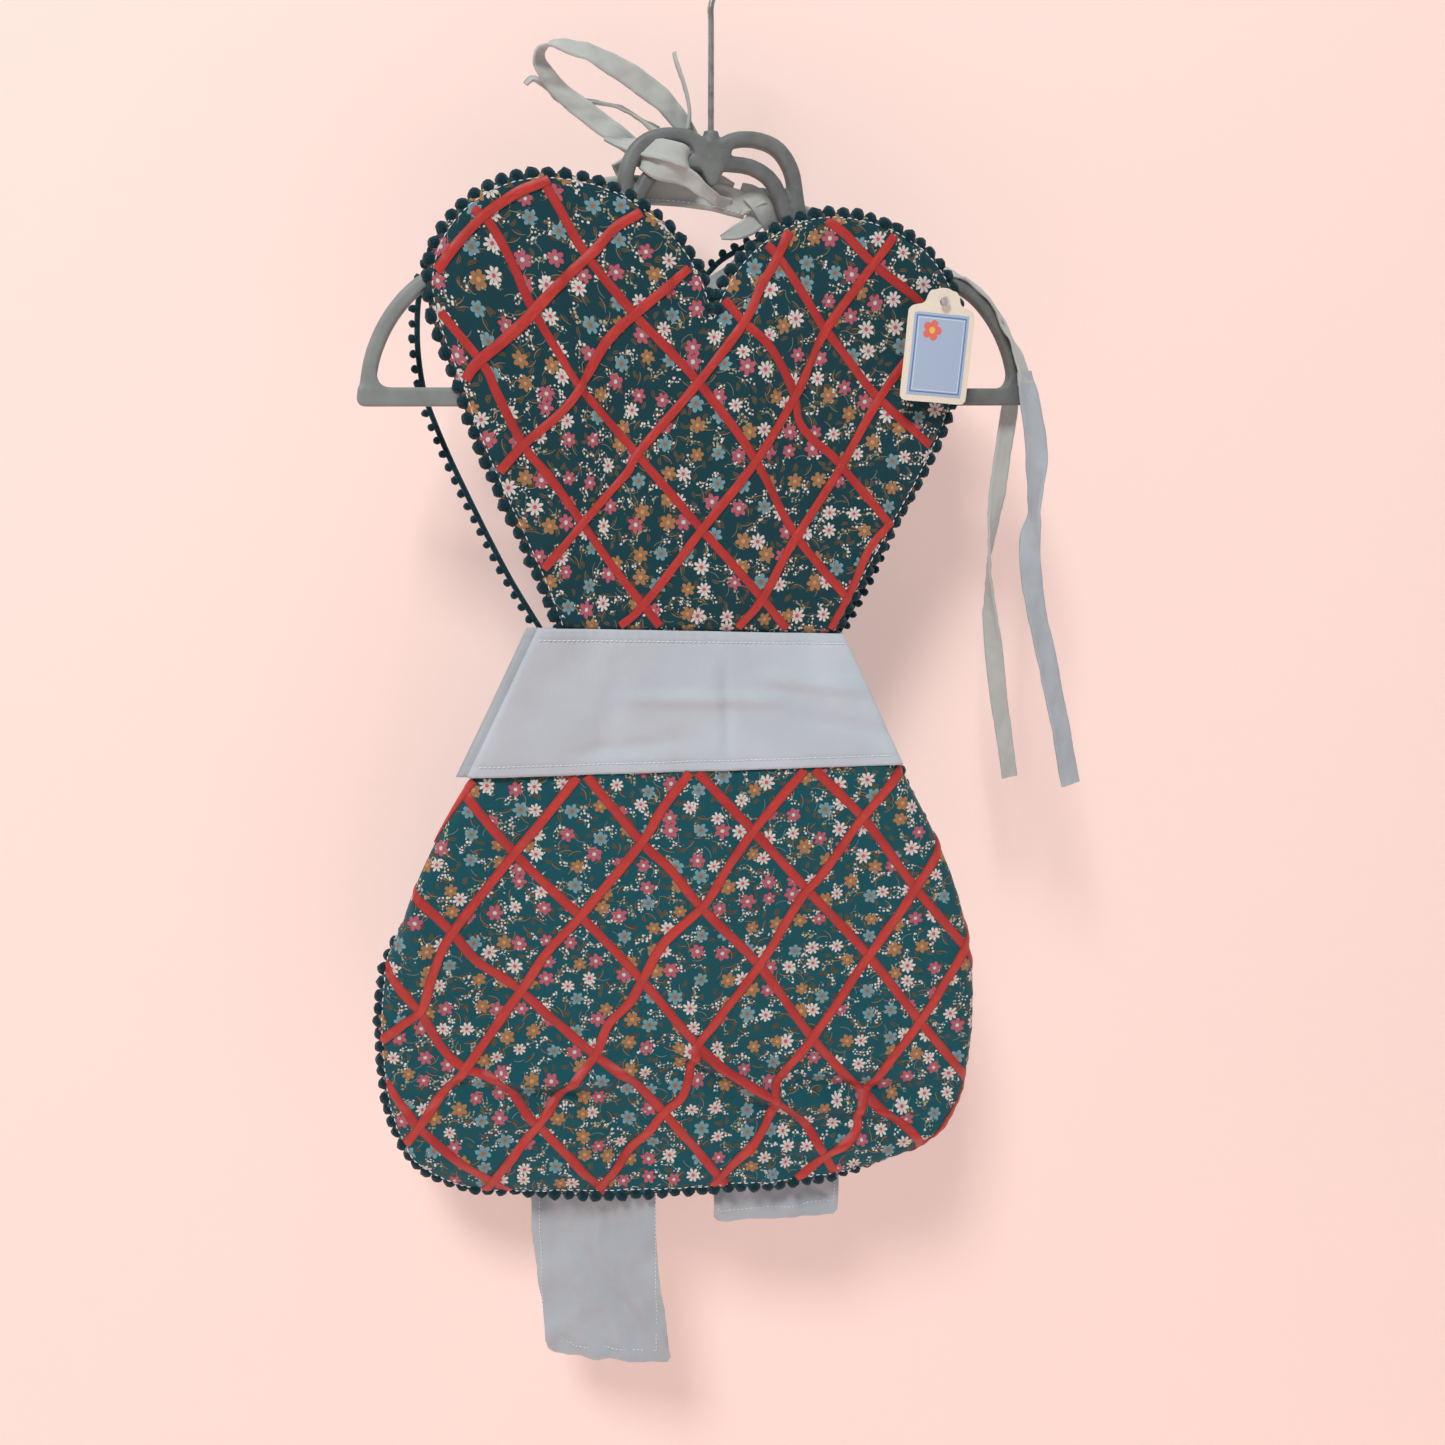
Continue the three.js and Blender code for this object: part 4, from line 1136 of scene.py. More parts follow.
# ---------- hanger ----------
class APRON_OT_hanger(bpy.types.Operator):
    """Round every edge of the moulded hanger, as it comes out of the mould"""
    bl_idname = "apron.hanger"
    bl_label = "Hanger"

    def execute(self, context):
        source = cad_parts["hanger_frame"]
        piece = bpy.data.objects.new("hanger_moulded", source.data.copy())
        context.scene.collection.objects.link(piece)
        for key in list(piece.data.keys()):
            del piece.data[key]
        remesh = piece.modifiers.new("Remesh", "REMESH")
        remesh.mode = "VOXEL"
        remesh.voxel_size = 1.05 * MM
        soften = piece.modifiers.new("Smooth", "SMOOTH")
        soften.factor = 0.5
        soften.iterations = 6
        applied = bpy.data.meshes.new_from_object(
            piece.evaluated_get(context.evaluated_depsgraph_get()))
        piece.modifiers.clear()
        piece.data = applied
        applied.name = "hanger_moulded"
        applied.materials.clear()
        applied.materials.append(finishes()["hanger_plastic"])
        applied.polygons.foreach_set("use_smooth", [True] * len(applied.polygons))
        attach(piece, "hanger")
        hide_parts("hanger_frame")
        return {"FINISHED"}


# ---------- panels ----------
CLOTH_DEPTHS = (0.0, 0.7)  # a layer's front and back, behind the print's face
TAPE_DEPTHS = (0.9, 1.5)
LINING_DEPTHS = (1.7, 2.3)


def build_panel(panel, name, routes, ribbon_share, seed, let_out):
    """A printed panel with its lining, ribbons, tape, pompoms and edge stitching."""
    cloth = make(f"{name}_cloth", "apron", "print_cotton", panel.skin(let_out, 3.4, *CLOTH_DEPTHS),
                 material=f"{name}_print", replaces=[f"{name}_panel"])
    lining = make(f"{name}_lining_cloth", "apron", "grey_cotton",
                  panel.skin(let_out - 1.5, 4.6, *LINING_DEPTHS), replaces=[f"{name}_lining"])
    ribbons = make(f"{name}_ribbon_lattice", "apron", "satin_ribbon",
                   panel.ribbons(routes, sizes_mm("ribbon_width") * ribbon_share),
                   replaces=[f"{name}_ribbons"], sharp=60)
    tape = make(f"{name}_trim_tape", "apron", "pompom_trim",
                panel.tape(let_out - 6.0, let_out + 1.2, *TAPE_DEPTHS))
    size = sizes_mm("pompom")
    spots, _ = panel.edge_row(let_out + size * 0.10, sizes_mm("pompom_pitch"), -1.6)
    balls = make(f"{name}_pompoms", "apron", "pompom_trim", pompoms(spots, size / 2, seed),
                 replaces=[f"{name}_trim"])
    row, look = panel.edge_row(let_out - 3.4, 3.0, 0.05)
    seams = make(f"{name}_edge_stitches", "apron", "grey_cotton",
                 stitches(row, look, sizes_mm("stitch") * 1.4, 1.8, 0.36), material="thread")


class APRON_OT_bib(bpy.types.Operator):
    """Cut, line, trim and ribbon the heart-shaped bib"""
    bl_idname = "apron.bib"
    bl_label = "Bib"

    def execute(self, context):
        routes = [(lift, [np.array(route) - np.column_stack(bib_shift(*np.array(route).T))
                          for route in group]) for lift, group in BIB_ROUTES]
        build_panel(bib, "bib", routes, 0.88, 31, 2.2)
        return {"FINISHED"}


class APRON_OT_skirt(bpy.types.Operator):
    """Cut, line, trim and ribbon the rounded skirt, its sides turned back"""
    bl_idname = "apron.skirt"
    bl_label = "Skirt"

    def execute(self, context):
        build_panel(skirt, "skirt", SKIRT_ROUTES, 1.0, 41, 0.0)
        return {"FINISHED"}


# ---------- waistband ----------
STITCH_ROWS = (0.075, 0.925)  # heights of the two seams, as shares of the band's height
BAND_CREASES = [
    (-52, -186, 40, -191, 4.5, -1.1), (34, -176, 96, -186, 5.0, -1.3),
    (6, -170, 9, -238, 4.0, 0.8), (-96, -226, -20, -214, 6.0, 0.9),
    (60, -204, 120, -216, 6.0, 0.8), (-60, -160, -74, -226, 9.0, 0.9),
]


class APRON_OT_waistband(bpy.types.Operator):
    """Join bib and skirt with a topstitched band whose ends fold to the back"""
    bl_idname = "apron.waistband"
    bl_label = "Waistband"

    def board(self, across, down, front):
        """Points on the band: across from -1 to 1 between its ends, down from 0 to 1."""
        tops = bib_place(np.array([(-100.5, 0, -204.6), (100.5, 0, -204.6)]))
        lows = skirt_place(np.array([(-142.5, 0, -0.8), (142.5, 0, -0.8)]))
        share = np.clip((across + 1) / 2, 0, 1)[:, None]
        top = tops[0] + (tops[1] - tops[0]) * share
        low = lows[0] + (lows[1] - lows[0]) * share
        spot = top + (low - top) * down[:, None]
        past = np.maximum(np.abs(across) - 1, 0) * 100
        near = (1 - np.minimum(np.abs(across), 1)) * 100
        spot[:, 1] += front + past + 1.6 * np.exp(-near / 1.6)
        spot[:, 0] -= np.sign(across) * (0.8 * np.exp(-near / 1.2) - np.minimum(past, 1) * 0.4)
        x, z = spot[:, 0], spot[:, 2]
        clear_of_seams = np.clip((0.44 - np.abs(down - 0.5)) / 0.14, 0, 1)
        fold = 2.4 * ridge(x, z, BAND_CREASES) * clear_of_seams
        puff = 0.9 * np.sin(np.pi * np.clip(down, 0, 1)) ** 0.7
        pucker = 0.22 * np.sin(x * 0.9) * sum(
            np.exp(-(off / 0.09) ** 2) for off in (down, 1 - down))
        groove = 0.5 * sum(np.exp(-((down - row) / 0.012) ** 2) for row in STITCH_ROWS)
        spot[:, 1] += fold - puff + pucker + groove + 0.5 * ripple(x, z, 61, 60)
        return spot

    def skin(self, near, far, across, beyond=0.0):
        """A closed layer between two depths; its left edge reaches out by beyond."""
        close = np.array([-0.024, -0.012, 0.0, 0.012, 0.024])
        down = np.sort(np.r_[np.linspace(0, 0.04, 3), STITCH_ROWS[0] + close,
                             np.linspace(0.12, 0.88, 30), STITCH_ROWS[1] + close,
                             np.linspace(0.96, 1, 3)])
        grid = np.array([(a, d) for d in down for a in across])
        front = self.board(grid[:, 0], grid[:, 1], near)
        back = self.board(grid[:, 0] * 0.996, grid[:, 1], far)
        for face in (front, back):
            face[:, 0] -= beyond * np.clip(-grid[:, 0], 0, 1) ** 8
        wide = len(across)
        corners = [i * wide + j for i in range(len(down) - 1) for j in range(wide - 1)]
        verts, faces = closed_sheet(
            front, back, [(a, a + wide, a + wide + 1, a + 1) for a in corners])
        return verts, faces, np.vstack([front, front])[:, [0, 2]] * MM

    def execute(self, context):
        returned = np.r_[-1.075, -1.05, np.linspace(-1.02, 1.02, 118), 1.05, 1.075]
        band = make("waistband_cloth", "apron", "grey_cotton", self.skin(-10.6, -9.8, returned),
                    replaces=["waistband"])
        # The facing is painted in the shaded grey cotton: painted shade on the band's turned-back
        # left end.
        facing = make("waistband_facing_cloth", "apron", "grey_cotton",
                      self.skin(-6.4, -5.8, np.linspace(-1, 1, 90), 7.0), material="shaded_grey_cotton",
                      replaces=["waistband_facing"])
        rows = []
        across = np.linspace(-0.975, 0.975, 90)
        for down in STITCH_ROWS:
            row = self.board(across, np.full(len(across), down), -10.95)
            rows.append(stitches(row, np.tile(FRONT, (len(row), 1)), sizes_mm("stitch"), 0.9,
                                 0.42))
        seam = make("waistband_stitches", "apron", "grey_cotton", joined(rows), material="thread")
        return {"FINISHED"}


# ---------- back yoke ----------
YOKE_LINE = [
    (98, -3.5, -206), (119, 7, -172), (145, 20, -122), (160, 26, -90), (169, 29, -65),
    (173, 30, -33),
    (170, 30, -2), (154, 30, 25), (120, 30, 45), (82, 30, 50), (46, 30, 42), (17, 30, 27),
    (3.5, 30, 14),
]


class APRON_OT_yoke(bpy.types.Operator):
    """Pipe the back yoke and edge it with small pompoms"""
    bl_idname = "apron.yoke"
    bl_label = "Back yoke"

    def half(self, side, name):
        """One side's piping, its small pompoms and the loop that ties it to the hanger."""
        radius = 1.7
        size = sizes_mm("small_pompom")
        path, _ = smooth_path(bib_place(np.array(YOKE_LINE) * [side, 1, 1]), 3.0)
        across = np.cross(tangents(path), BACK) * side
        across /= np.linalg.norm(across, axis=1, keepdims=True)
        make(f"yoke_piping_{name}", "apron", "pompom_trim", tube(path, across, BACK, radius, 10),
             replaces=[f"yoke_band_{name}"])
        spots, _ = smooth_path(path, 8.7)
        share, shares = np.linspace(0, 1, len(spots)), np.linspace(0, 1, len(path))
        out = np.column_stack([np.interp(share, shares, across[:, k]) for k in range(3)])
        out *= np.sign(out[len(out) // 2][0] * side)
        make(f"yoke_pompoms_{name}", "apron", "pompom_trim",
             pompoms(spots[1:] + out[1:] * (radius + size * 0.22), size / 2, 51 + side))
        line = np.array([(side * 74, 14.2, 49.5), (side * 74, 21, 48), (side * 74, 28, 49.5)])
        loop = strip(bib_place(line), [UP] * 3, 14, 70 + side, 0.3)
        make(f"yoke_loop_{name}", "apron", "grey_cotton", loop[:3], material="strap_cotton",
             replaces=[f"yoke_tab_{name}"])

    def facing(self):
        """The small piece of cloth under the yoke's notch."""
        outline = np.array([
            (-26, 28), (-16, 21), (-8, 15.5), (0, 11), (8, 15.5), (16, 21), (26, 28),
            (25, 10), (20, -3), (10, -11), (0, -15), (-10, -11), (-20, -3), (-25, 10),
            (-26, 28)], float)
        rim = smooth_path(outline, 2.0)[0][:-1]
        middle = np.array([0.0, 4.0])
        rings = []
        for share in np.linspace(1, 0.04, 14):
            flat = middle + (rim - middle) * share
            sag = 0.7 * ripple(flat[:, 0], flat[:, 1], 77, 22)
            rings.append(np.column_stack([flat[:, 0], 27.2 + sag, flat[:, 1]]))
        verts, faces = loft(np.array(rings), capped=False)
        faces.append(tuple(range(len(verts) - len(rim), len(verts))))
        front = bib_place(verts)
        piece = make("yoke_facing_cloth", "apron", "grey_cotton",
                     closed_sheet(front, front + [0, 0.7, 0], faces), material="strap_cotton",
                     replaces=["yoke_facing"])

    def execute(self, context):
        self.half(-1, "left")
        self.half(1, "right")
        self.facing()
        return {"FINISHED"}


# ---------- straps ----------
def strap(name, body, points, facings, width, seed, replaces=(), wave=0.7):
    """A strap of the neck tie, made as a thin sheet of cloth."""
    verts, faces, cloth, length = strip(points, facings, width, seed, wave)
    piece = make(name, body, "grey_cotton", (verts, faces, cloth), material="strap_cotton",
                 replaces=replaces, sharp=70)
    length * MM


class APRON_OT_neck_strap(bpy.types.Operator):
    """Loop the neck strap round the hanger's heart and knot it"""
    bl_idname = "apron.neck_strap"
    bl_label = "Neck strap, knot and bow"

    def execute(self, context):
        wide = sizes_mm("strap_width")
        main = [(-112, 11, 97), (-90, 10, 110), (-62, 9.5, 119), (-30, 9, 120.5), (0, 9, 118.5),
                (25, 11, 114)]
        strap("neck_strap_cloth", "apron", main, [FRONT] * 6, [wide, wide, wide + 1, wide], 81,
              ["neck_strap_left"])
        seam_line = np.array(main[2:], float) - [0, 1.6, 5.4]
        seam = stitches(seam_line, np.tile(FRONT, (4, 1)), sizes_mm("stitch"), 1.1, 0.3)
        make("neck_strap_stitches", "apron", "grey_cotton", seam, material="thread")
        strap("neck_strap_right_cloth", "hanger",
              [(40, 11.5, 113), (60, 10.5, 108.5), (90, 10, 99.5), (118, 9.5, 92), (136, 8.5, 86)],
              [FRONT] * 5, [13, wide, wide, wide - 2], 82, ["neck_strap_right"])
        strap("bow_loop_front_cloth", "apron",
              [(-8, 13, 152), (-17, 12, 162), (-28, 11, 172.5), (-44, 10, 182.5), (-64, 9, 192),
               (-83, 11, 198.5),
               (-95, 15, 198), (-98, 20, 190), (-87, 23, 177), (-71, 22, 165), (-55, 17, 153),
               (-44, 14, 145)],
              [(0.2, -1, 0.2), FRONT, FRONT, FRONT, (-0.3, -1, 0.5), (-0.8, -0.6, 0.7),
               (-1, 0, 0.7),
               (-0.6, 0.7, 0.5), (0, 1, 0.1), BACK, BACK, BACK],
              [10, 12.5, 14, 13, 10.5, 10, 10, 12, 12.5, 11], 83, ["bow_loop_front"], wave=0.9)
        strap("bow_loop_back_cloth", "apron",
              [(-106, 26, 179), (-101, 27, 182.5), (-92, 28, 178.5), (-82, 28, 172.5),
               (-62, 27, 171.5),
               (-46, 24, 167), (-28, 20, 156)],
              [(0.2, -1, 0.6), (0, -1, 0.6), (0.1, -1, 0.7), (0.2, -1, 1.2), (0.4, -0.5, 3),
               (0.3, -0.5, 3),
               (0, -1, 1.2)], [3, 7, 12, 13, 10, 10, 10], 84, ["bow_loop_back"])
        strap("bow_fold_cloth", "apron",
              [(-62, 12, 149), (-52, 9, 146), (-41, -3, 143), (-29, -8.6, 140.5), (-18, -8, 137),
               (-11, 2, 133),
               (0, 8, 129), (16, 10.5, 122)],
              [(0, -1, 0.3)] * 8, [3, 9, 13, 14, 14, 12, 11], 85, ["bow_end"], wave=0.6)
        strap("bow_hollow_cloth", "apron",
              [(-57, 10.5, 131), (-51, 9, 134), (-45, 4, 137), (-40, -4.5, 134), (-33, -6.9, 130),
               (-23, -7, 128.5),
               (-14, -6.8, 125), (-8, -6.2, 120.5), (0, -2, 117), (6, 5, 115.5), (14, 9, 114)],
              [(0, -1, -0.3)] * 11, [8, 9, 10, 12, 12, 11, 9, 7, 7, 8], 89)
        strap("bow_upright_cloth", "apron",
              [(-20, 10, 198), (-17.5, 10, 190), (-13.5, 10, 180), (-11, 10.5, 170),
               (-10.5, 11, 156)],
              [(1, -0.25, 0)] * 5, [5, 11, 12, 12, 12], 86, ["bow_end_upright"], wave=0.4)
        strap("strap_point_cloth", "apron",
              [(34, 10.5, 108), (27, 10, 102), (18, 9.5, 98), (9, 9, 95)], [(0, -1, 0.2)] * 4,
              [12, 11, 9, 3],
              87, ["strap_point"], wave=0.3)
        strap("shoulder_strap_cloth", "hanger",
              [(134, 6.5, 86.5), (152, 3, 79.5), (168, 1.5, 73.5), (180, 0.5, 66), (190, -1, 54.5),
               (199.5, -3.5, 38), (206.5, -7, 22), (209.5, -9.5, 8)],
              [(0.2, -0.9, 0.6), (0.25, -0.45, 1), (0.35, -0.35, 1), (0.6, -0.4, 0.9),
               (0.9, -0.5, 0.6),
               (1, -0.7, 0.3), (0.8, -1, 0.2), (0.3, -1, 0)], [14, 15, 15.5, 15, 14, 13.5], 88,
              ["shoulder_strap"], wave=0.5)
        self.knot()
        return {"FINISHED"}

    def knot(self):
        """The knot: a crumpled ball of cloth under two crossing bands."""
        unit, faces = ball(4)
        grain = ripple(unit[:, 0] * 9 + unit[:, 2] * 3, unit[:, 2] * 4, 91, 7.5)
        fold = np.exp(-((unit[:, 0] * 0.8 + unit[:, 2] * 0.6 - 0.1) / 0.16) ** 2)
        shape = unit * (1 + 0.07 * grain - 0.2 * fold)[:, None] * [10.5, 5.5, 9]
        core = make("neck_knot_core", "apron", "grey_cotton", (shape + [34, 13.5, 114], faces),
                    material="strap_cotton", replaces=["neck_knot"])
        strap("neck_knot_band", "apron",
              [(22, 12, 123), (27, 8.5, 121), (34, 6.6, 114.5), (39, 8.2, 107), (42, 12, 103)],
              [(-0.3, -1, 0.3), (-0.2, -1, 0.3), FRONT, (0.1, -1, -0.3), (0.2, -1, -0.5)],
              [10, 13, 13, 11], 92,
              wave=0.8)
        strap("neck_knot_cross", "apron",
              [(20, 11, 113), (26, 8.6, 116), (34, 7.4, 119.5), (42, 8.6, 118), (50, 11, 112)],
              [(-0.2, -1, 0), (-0.1, -1, 0.2), (0, -1, 0.4), (0.1, -1, 0.3), (0.2, -1, 0)],
              [12, 11, 10, 12],
              93, wave=0.6)


class APRON_OT_tails(bpy.types.Operator):
    """Hang the two free ends of the neck strap, each with its own twist"""
    bl_idname = "apron.tails"
    bl_label = "Neck strap tails"

    def tail(self, which, points, facings, widths, flat_width, finish, seed, start, end):
        """One free end of the neck strap; start and end are not used."""
        verts, faces, cloth, length = strip(points, facings, widths, seed, 0.5)
        piece = make(f"neck_tail_{which}_cloth", None, "grey_cotton", (verts, faces, cloth),
                     material=finish, replaces=[f"neck_tail_{which}"], sharp=70)
        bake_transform(piece)
        length * MM

    def execute(self, context):
        # The outer tail is painted in the shaded grey cotton: painted shade.
        self.tail(
            "outer",
            [(208.5, -8.8, 16), (210.5, -10.5, 4), (214, -11.8, -12), (218.5, -11.8, -34),
             (219, -11.8, -56), (218.5, -11.8, -76), (217, -12, -100), (223, -12, -135),
             (234, -12, -174), (246, -12, -217), (258, -12, -264)],
            [(0.4, -1, 0), (0.2, -1, 0), FRONT, (-0.3, -1, 0), (-0.95, -0.35, 0), (-1, -0.1, 0),
             (-0.5, -1, 0), FRONT, FRONT, (0.15, -1, 0), FRONT],
            [14, 14.5, 14, 14, 14, 14.5, 14], 0.0142, "shaded_grey_cotton", 101,
            (0.209, -0.0118, -0.272), (0.215, -0.0118, -0.305))
        self.tail(
            "inner",
            [(209, 7.5, 2), (208, 9.5, -12), (206, 9.8, -30), (202, 9.8, -68), (199, 9.8, -105),
             (200, 9.8, -135), (204, 9.8, -163), (211, 9.8, -206), (217, 9.8, -235),
             (222, 9.8, -262)],
            [(0.3, -1, 0), FRONT, FRONT, (0.15, -1, 0), (0.95, -0.5, 0), (1, 0.05, 0),
             (0.7, 0.8, 0), (0.1, 1, 0), (0.1, 1, 0), BACK],
            [12, 12.5, 12, 12, 12.5, 12, 11.5], 0.0122, "strap_cotton", 103,
            (0.208, 0.0098, -0.289), (0.206, 0.0098, -0.322))
        return {"FINISHED"}


# ---------- waist ties ----------
class APRON_OT_waist_ties(bpy.types.Operator):
    """Hang the two wide waist ties behind the skirt"""
    bl_idname = "apron.waist_ties"
    bl_label = "Waist ties"

    def tie(self, side, x, y, yaw, length, root, seed):
        """One tie: x, y and yaw of its seam, its length below it and its root above it."""
        turn = math.radians(yaw)
        wide = sizes_mm("tie_width")

        def placed(across, depth, height):
            """Points of the tie in the bar's millimetres."""
            return np.stack([x + across * math.cos(turn) - depth * math.sin(turn),
                             y + across * math.sin(turn) + depth * math.cos(turn),
                             height + TIE_SEAM], -1)

        s = np.linspace(-1, 1, 37)
        rows = np.linspace(root, -length, 120)
        grow = np.interp(rows, [-length, -length * 0.55, 0, root], [1.0, 1.0, 0.97, 0.9])
        u, v = np.meshgrid(s, rows)
        from_end = v + length
        across = u * (wide / 2) * grow[:, None]
        upper = np.interp(rows, [-length, -length * 0.5, 0, root], [0.5, 0.9, 1.6, 1.2])[:, None]
        depth = (upper * 1.3 * ripple(across * 1.6, v * 0.22, seed, 44)
                 + 1.5 * ripple(across, v, seed + 1, 38)
                 + 0.6 * ripple(across, v * 1.6, seed + 3, 17)
                 + 2.2 * np.exp(-((across * 0.8 + (from_end - 70) * 0.5) / 6) ** 2)
                 - 1.8 * np.exp(-((across * 0.5 - (from_end - 46) * 0.7) / 5) ** 2))
        half = 0.85 + 0.35 * ((np.abs(u) > 0.955) | (from_end < 11))
        half[:, [0, -1]] = 0.4
        half[from_end < 3] *= 0.7
        corner = np.clip(1 - from_end / 5, 0, 1) ** 2 * 3.0 * np.abs(u)
        lean = np.interp(v, [-440, -350, -240, -100, 0], [7.0, -3.0, -3.5, -1.0, 0.0])
        across = across - np.sign(u) * corner + lean * (side == "left")
        front, back = (placed(across, depth + way * half, v) for way in (-1, 1))
        verts, faces = loft(np.concatenate([front, back[:, ::-1]], axis=1)[::-1])
        flat = np.stack([across, v], -1)
        cloth = np.concatenate([flat, flat[:, ::-1]], axis=1)[::-1].reshape(-1, 2) * MM
        # Each tie is painted in the shaded grey cotton: painted shade.
        piece = make(f"waist_tie_{side}_cloth", None, "grey_cotton", (verts, faces, cloth),
                     material="shaded_grey_cotton", sharp=60,
                     replaces=[f"waist_tie_{side}", f"waist_tie_{side}_root"])
        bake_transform(piece)
        count = 40
        inset, hem = wide / 2 * 0.93, 10 - length
        lines = [(np.linspace(-inset, inset, count), np.full(count, hem))]
        lines += [(np.full(count, way * inset), np.linspace(hem, hem + 180, count))
                  for way in (-1, 1)]
        seams = []
        for line_x, line_z in lines:
            row = np.interp(line_z, rows[::-1], np.arange(len(rows))[::-1]).round().astype(int)
            column = np.interp(line_x / (wide / 2), s, np.arange(len(s))).round().astype(int)
            look = np.tile([math.sin(turn), -math.cos(turn), 0.0], (count, 1))
            seams.append(stitches(placed(line_x, depth[row, column] - 1.0, line_z), look,
                                  sizes_mm("stitch"), 1.0, 0.3))
        sewn = make(f"waist_tie_{side}_stitches", f"tie_{side}", "grey_cotton", joined(seams),
                    material="thread")
        wide * MM

    def execute(self, context):
        self.tie("left", -78, 19, -24, 440.0, 70.0, 111)
        self.tie("right", 48, -1, -8.5, 336.0, 70.0, 121)
        return {"FINISHED"}


# ---------- tag ----------
TAG_PIN = (144.0, 57.5)  # x and z of the pin that the card hangs from


def within(loop, points):
    """Which flat points lie inside a closed loop."""
    start, end = loop, np.roll(loop, -1, 0)
    x, z = points[:, :1], points[:, 1:]
    crosses = (start[:, 1] > z) != (end[:, 1] > z)
    with np.errstate(divide="ignore", invalid="ignore"):
        share = (z - start[:, 1]) / (end[:, 1] - start[:, 1])
        at = start[:, 0] + (end[:, 0] - start[:, 0]) * share
    return np.count_nonzero(crosses & (x < at), axis=1) % 2 == 1


class APRON_OT_tag(bpy.types.Operator):
    """Hang the scalloped card tag on its clear fastener"""
    bl_idname = "apron.tag"
    bl_label = "Tag"

    def card_points(self, flat, front):
        """Card points in the bar's millimetres, from the pin, with the card's slight curl."""
        turn = math.radians(4.5)
        x, z = flat.T
        y = front + 0.9 * ((x / 22) ** 2 - 0.5) + 0.4 * np.sin(z / 16)
        return np.column_stack([TAG_PIN[0] + x * math.cos(turn) + z * math.sin(turn), y,
                                TAG_PIN[1] + z * math.cos(turn) - x * math.sin(turn)])

    def plate(self, loops, front, thick):
        """A thin plate between closed loops: its rim, then a hole round the pin if it has one."""
        pitch, rim = 3.0, loops[0]
        low, high = rim.min(0), rim.max(0)
        grid = np.array([(x, z) for x in np.arange(low[0], high[0], pitch)
                         for z in np.arange(low[1], high[1], pitch)])
        clear = np.linalg.norm(grid[:, None] - rim, axis=2).min(1) > pitch * 0.5
        grid = grid[within(rim, grid) & clear & (np.linalg.norm(grid, axis=1) > 3.6)]
        edges, base = [], 0
        for loop in loops:
            edges += [(base + i, base + (i + 1) % len(loop)) for i in range(len(loop))]
            base += len(loop)
        made = delaunay_2d_cdt([Vector(p) for p in np.vstack(loops + [grid])], edges, [], 0, 1e-6)
        flat = np.array([v[:] for v in made[0]])
        faces = [tuple(face) for face in made[2]]
        middles = np.array([flat[list(face)].mean(0) for face in faces])
        solid = within(rim, middles) & (np.linalg.norm(middles, axis=1) > 2.4)
        verts, faces = closed_sheet(
            self.card_points(flat, front), self.card_points(flat, front + thick),
            [face for face, kept in zip(faces, solid) if kept])
        return verts, faces, np.vstack([flat, flat]) * MM

    def execute(self, context):
        colours = context.scene.apron_colours
        left = [(0, 8.4), (-2.6, 8.2), (-5.5, 7.2), (-8.6, 6.4), (-10.6, 3.6), (-11.6, 0.2),
                (-13.6, -1.8),
                (-16.6, -2.6), (-19.8, -3.6), (-21.8, -5.6), (-22.5, -9), (-22.5, -30),
                (-22.5, -56),
                (-21.6, -59.4), (-18.4, -61), (0, -61)]
        rim = smooth_path(left + [(-x, z) for x, z in left[-2:0:-1]] + left[:1], 1.2)[0][:-1]
        turn = np.linspace(0, TAU, 24, endpoint=False)
        hole = 2.5 * np.column_stack([np.cos(turn), np.sin(turn)])
        front = -21.4
        card = make("tag_card_scalloped", "tag", "tag_board", self.plate([rim, hole], front, 0.6),
                    replaces=["tag_card"], sharp=40)
        corner = [(-18.5, -9), (-16.5, -7.2), (0, -7.2), (16.5, -7.2), (18.5, -9), (18.5, -32),
                  (18.5, -55),
                  (16.5, -57), (0, -57), (-16.5, -57), (-18.5, -55), (-18.5, -32)]
        field = smooth_path(corner + corner[:1], 1.5)[0][:-1]
        verts, faces, cloth = self.plate([field], front - 0.25, 0.2)
        cloth = cloth + [0, 32.1 * MM]
        made_finishes["tag_print"] = label_print(
            "tag_print", colours, (-6.0 * MM, 14.5 * MM), 18.5 * MM, 24.9 * MM)
        make("tag_field", "tag", "tag_print", (verts, faces, cloth), replaces=["tag_label"],
             sharp=40)
        self.pin()
        return {"FINISHED"}

    def pin(self):
        """The clear T-shaped fastener through the card's hole."""
        back, face = -9.2, -24.9
        profile = [(0.05, back), (2.3, back), (2.5, back - 0.3), (2.3, back - 0.6),
                   (0.7, back - 0.9), (0.55, back - 2),
                   (0.55, face + 2), (0.8, face + 0.9), (2.6, face + 0.6), (3.1, face + 0.2),
                   (3.0, face - 0.2),
                   (0.05, face - 0.5)]
        turn = np.linspace(0, TAU, 20, endpoint=False)
        rings = np.array([[(TAG_PIN[0] + r * math.cos(a), y, TAG_PIN[1] + r * math.sin(a))
                           for a in turn] for r, y in profile])
        make("tag_fastener", "apron", "clear_plastic", loft(rings), replaces=["tag_pin"], sharp=40)


